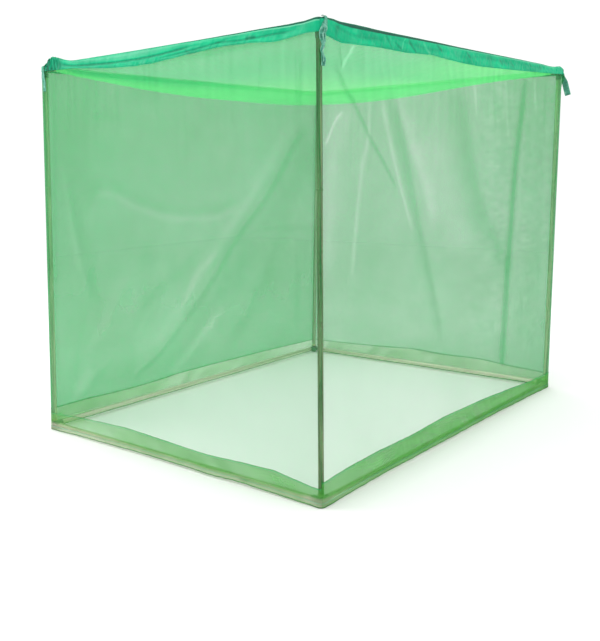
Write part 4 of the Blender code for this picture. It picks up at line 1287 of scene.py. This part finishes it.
def tape(name, corner, rows, seed):
    """A ribbon down a corner: its middle follows the smooth curve, its width turns by twist
    about the vertical and is square to its run, and it is crumpled by the noise. It is
    cupped, and its shade paints a highlight on its edges and shade in its middle, times
    the squared cosine of twice its twist."""
    columns = zip(TAPE_COLUMNS, zip(*rows))
    table = {column: through(values, 8 * len(rows)) for column, values in columns}
    side_x, side_y = CORNERS[corner]
    out = np.array([side_x, side_y, 0.0]) / math.sqrt(2)
    sideways = np.array([-out[1], out[0], 0.0])
    centre = post_axis(corner, NET_TOP - table["drop"])
    centre = centre + out * table["out"][:, None] + sideways * table["side"][:, None]
    twist = np.radians(table["twist"])[:, None]
    ahead = unit(np.gradient(centre, axis=0))
    level = sideways * np.cos(twist) + out * np.sin(twist)
    across = unit(level - ahead * (level * ahead).sum(axis=1, keepdims=True))
    face = np.cross(across, ahead)
    share = np.linspace(-1, 1, 9)
    run = np.concatenate([[0], np.cumsum(np.linalg.norm(np.diff(centre, axis=0), axis=1))])
    crumple = 0.0006 * hills(run[:, None] / 0.011, share * 2 + 5, seed) + 0.0006 * (1 - share ** 2)
    half = across * table["width"][:, None] / 2
    points = centre[:, None] + half[:, None] * share[:, None] + face[:, None] * crumple[..., None]
    flat = np.stack(np.broadcast_arrays(share * 0.008, run[:, None]), axis=-1)
    # painted highlight on the tape's edges and painted shade in its middle
    shade = (1.3 * share ** 2 - 0.55) * np.cos(2 * twist) ** 2
    shade = shade + 0.3 * hills(run[:, None] / 0.012, share, seed)
    piece = cloth_piece(f"{name}_tape", points[::-1], flat[::-1], shade=shade[::-1],
                        thickness=TAPE_THICK)
    return piece, float(run[-1]), table["width"]


for seed, (name, (corner, rows)) in enumerate(TAPES.items(), start=401):
    ribbon, run, width = tape(name, corner, rows, seed)
    place(ribbon, TIE, "tie", name)
    print(ribbon.name, round(run * 1000), "mm long")

# %% [markdown]
# ## Stitches
# Each strip is sewn on with a row of lock stitches, two to three millimetres long. A row
# could be a dashed line in the material, but then it would have no relief. Here every
# stitch is a small box, drawn at about twice its real length so that it shows, and a whole
# seam is one mesh worked out at once from the surfaces above.

# %% Stitches
STITCH_PITCH, STITCH_LONG = 0.008, 0.0052
STITCH_WIDE, STITCH_RISE, STITCH_SUNK = 0.0010, 0.0010, 0.0003
BOX_FACES = np.array([(0, 1, 2, 3), (4, 7, 6, 5), (0, 4, 5, 1), (1, 5, 6, 2), (2, 6, 7, 3),
                      (3, 7, 4, 0)])


def stitch_boxes(line, beside):
    """The eight corners of a box for each stitch along a line. Run and the way to the line
    beside it make a cross product, which is the way out of the cloth."""
    run = np.concatenate([[0], np.cumsum(np.linalg.norm(np.diff(line, axis=0), axis=1))])
    places = np.arange(0.002, run[-1] - STITCH_LONG, STITCH_PITCH)

    def read(at, points):
        return np.stack([np.interp(at, run, column) for column in points.T], axis=-1)

    start, end = read(places, line), read(places + STITCH_LONG, line)
    across = unit(read(places, beside) - start)
    out = unit(np.cross(unit(end - start), across))
    half = across * STITCH_WIDE / 2
    ring = np.stack([start - half, start + half, end + half, end - half], axis=1)
    return np.concatenate([ring - out[:, None] * STITCH_SUNK, ring + out[:, None] * STITCH_RISE], axis=1)


def stitched_seam(name, slot, rows):
    """One mesh of all the stitches in the given rows."""
    boxes = np.concatenate([stitch_boxes(line, beside) for line, beside in rows])
    faces = (8 * np.arange(len(boxes))[:, None, None] + BOX_FACES).reshape(-1, 4)
    corners = boxes.reshape(-1, 3)
    place(new_piece(name, corners, faces, corners[:, [0, 2]]), THREAD, slot)
    print(name, len(boxes), "stitches")


def seam_rows(surface, places):
    """Lines along all four walls at the given places across a strip's surface."""
    rows = []
    for wall in WALLS:
        along, turn = wall_columns(wall, 0.004)
        for at in places:
            beside = surface(wall, along, turn, at + 0.01)
            rows.append((surface(wall, along, turn, at), beside))
    return rows


def on_band(wall, along, turn, share):
    """The band's outer face at a share of its width from the lower seam."""
    return band_points(wall, along, turn, share + np.zeros_like(along), BAND_THICK / 2)[0]


def on_border(wall, along, turn, share):
    """Share 0 is the top of the hem and share 1 is the seam to the net."""
    top, hem = edge(BORDER_HEIGHT[wall], along), edge(HEM_UP[wall], along) + HEM
    points, _ = border_points(wall, along, turn, hem + (top - hem) * share)
    return points + unit(points - wall_points(wall, along, turn, top, -CLOTH_OUT)) * [0.0005, 0.0005, 0.0]


stitched_seam("band_stitches", "band", seam_rows(on_band, (0.07, 0.95)))
stitched_seam("border_stitches", "border", seam_rows(on_border, (0.0, 0.94)))

# %% [markdown]
# ## Studio
# A pale floor and soft light: a broad sheet of light above, one from the left and a bright
# even surround, as in a white photo studio. Sheer cloth needs light from behind as well as
# in front, and the surround gives that. A small one on the right draws the bright line
# down the steel. The lamp within carries the pink gel that photographers put against a
# green cast.

# %% Floor and light
FLOOR_HALF = 7.0          # out there the floor is just as bright as the surround


def panel_light(name, place_at, size, power, target, colour):
    """A square area light, turned to look from its place at the target."""
    data = bpy.data.lights.new(name, "AREA")
    data.size = size
    data.energy = power
    data.color = colour
    lamp = bpy.data.objects.new(name, data)
    lamp.visible_camera = False
    away = Vector(target) - Vector(place_at)
    lamp.matrix_world = (Matrix.Translation(Vector(place_at))
                         @ away.to_track_quat("-Z", "Y").to_matrix().to_4x4())
    bpy.context.scene.collection.objects.link(lamp)


LIGHTS = (
    # name, place, side of its square, power in watts, target, colour
    ("top", (-0.3, 0.3, 4.5), 3.0, 60, (0.0, 0.0, 0.8), (1.0, 1.0, 1.0)),
    ("fill", (0.0, 0.0, 1.30), 1.0, 3.0, (0.0, 0.0, 0.0), (1.0, 0.10, 0.90)),
    ("key", (-3.0, -3.0, 3.5), 2.0, 72, (0.0, 0.0, 0.8), (1.0, 1.0, 1.0)),
    ("edge", (3.2, -0.6, 1.4), 0.5, 5, (0.0, 0.0, 0.8), (1.0, 1.0, 1.0)),
)
SURROUND = 1.05           # strength of the even white around the scene


def studio():
    """A square floor of matt board, a white surround and the lights."""
    # matt painted board: an even pale surface with no gloss of its own
    material, tree = new_material("pale_studio_floor")
    shader = add(tree, "BsdfPrincipled", {"Base Color": linear("FAFAF9"), "Roughness": 0.8,
                                          "Specular IOR Level": 0.1})
    add(tree, "OutputMaterial", {"Surface": shader.outputs[0]})
    corners = [(-FLOOR_HALF, -FLOOR_HALF, 0), (FLOOR_HALF, -FLOOR_HALF, 0),
               (FLOOR_HALF, FLOOR_HALF, 0), (-FLOOR_HALF, FLOOR_HALF, 0)]
    mesh = bpy.data.meshes.new("floor")
    mesh.from_pydata(corners, [], [(0, 1, 2, 3)])
    mesh.materials.append(material)
    floor = bpy.data.objects.new("floor", mesh)
    floor.location.z = -0.001
    bpy.context.scene.collection.objects.link(floor)
    world = bpy.data.worlds.new("surround")
    world.use_nodes = True
    around = world.node_tree.nodes["Background"].inputs
    around["Color"].default_value = (1.0, 1.0, 1.0, 1.0)
    around["Strength"].default_value = SURROUND
    bpy.context.scene.world = world
    for row in LIGHTS:
        panel_light(*row)


studio()
bpy.context.scene.view_settings.view_transform = "Standard"
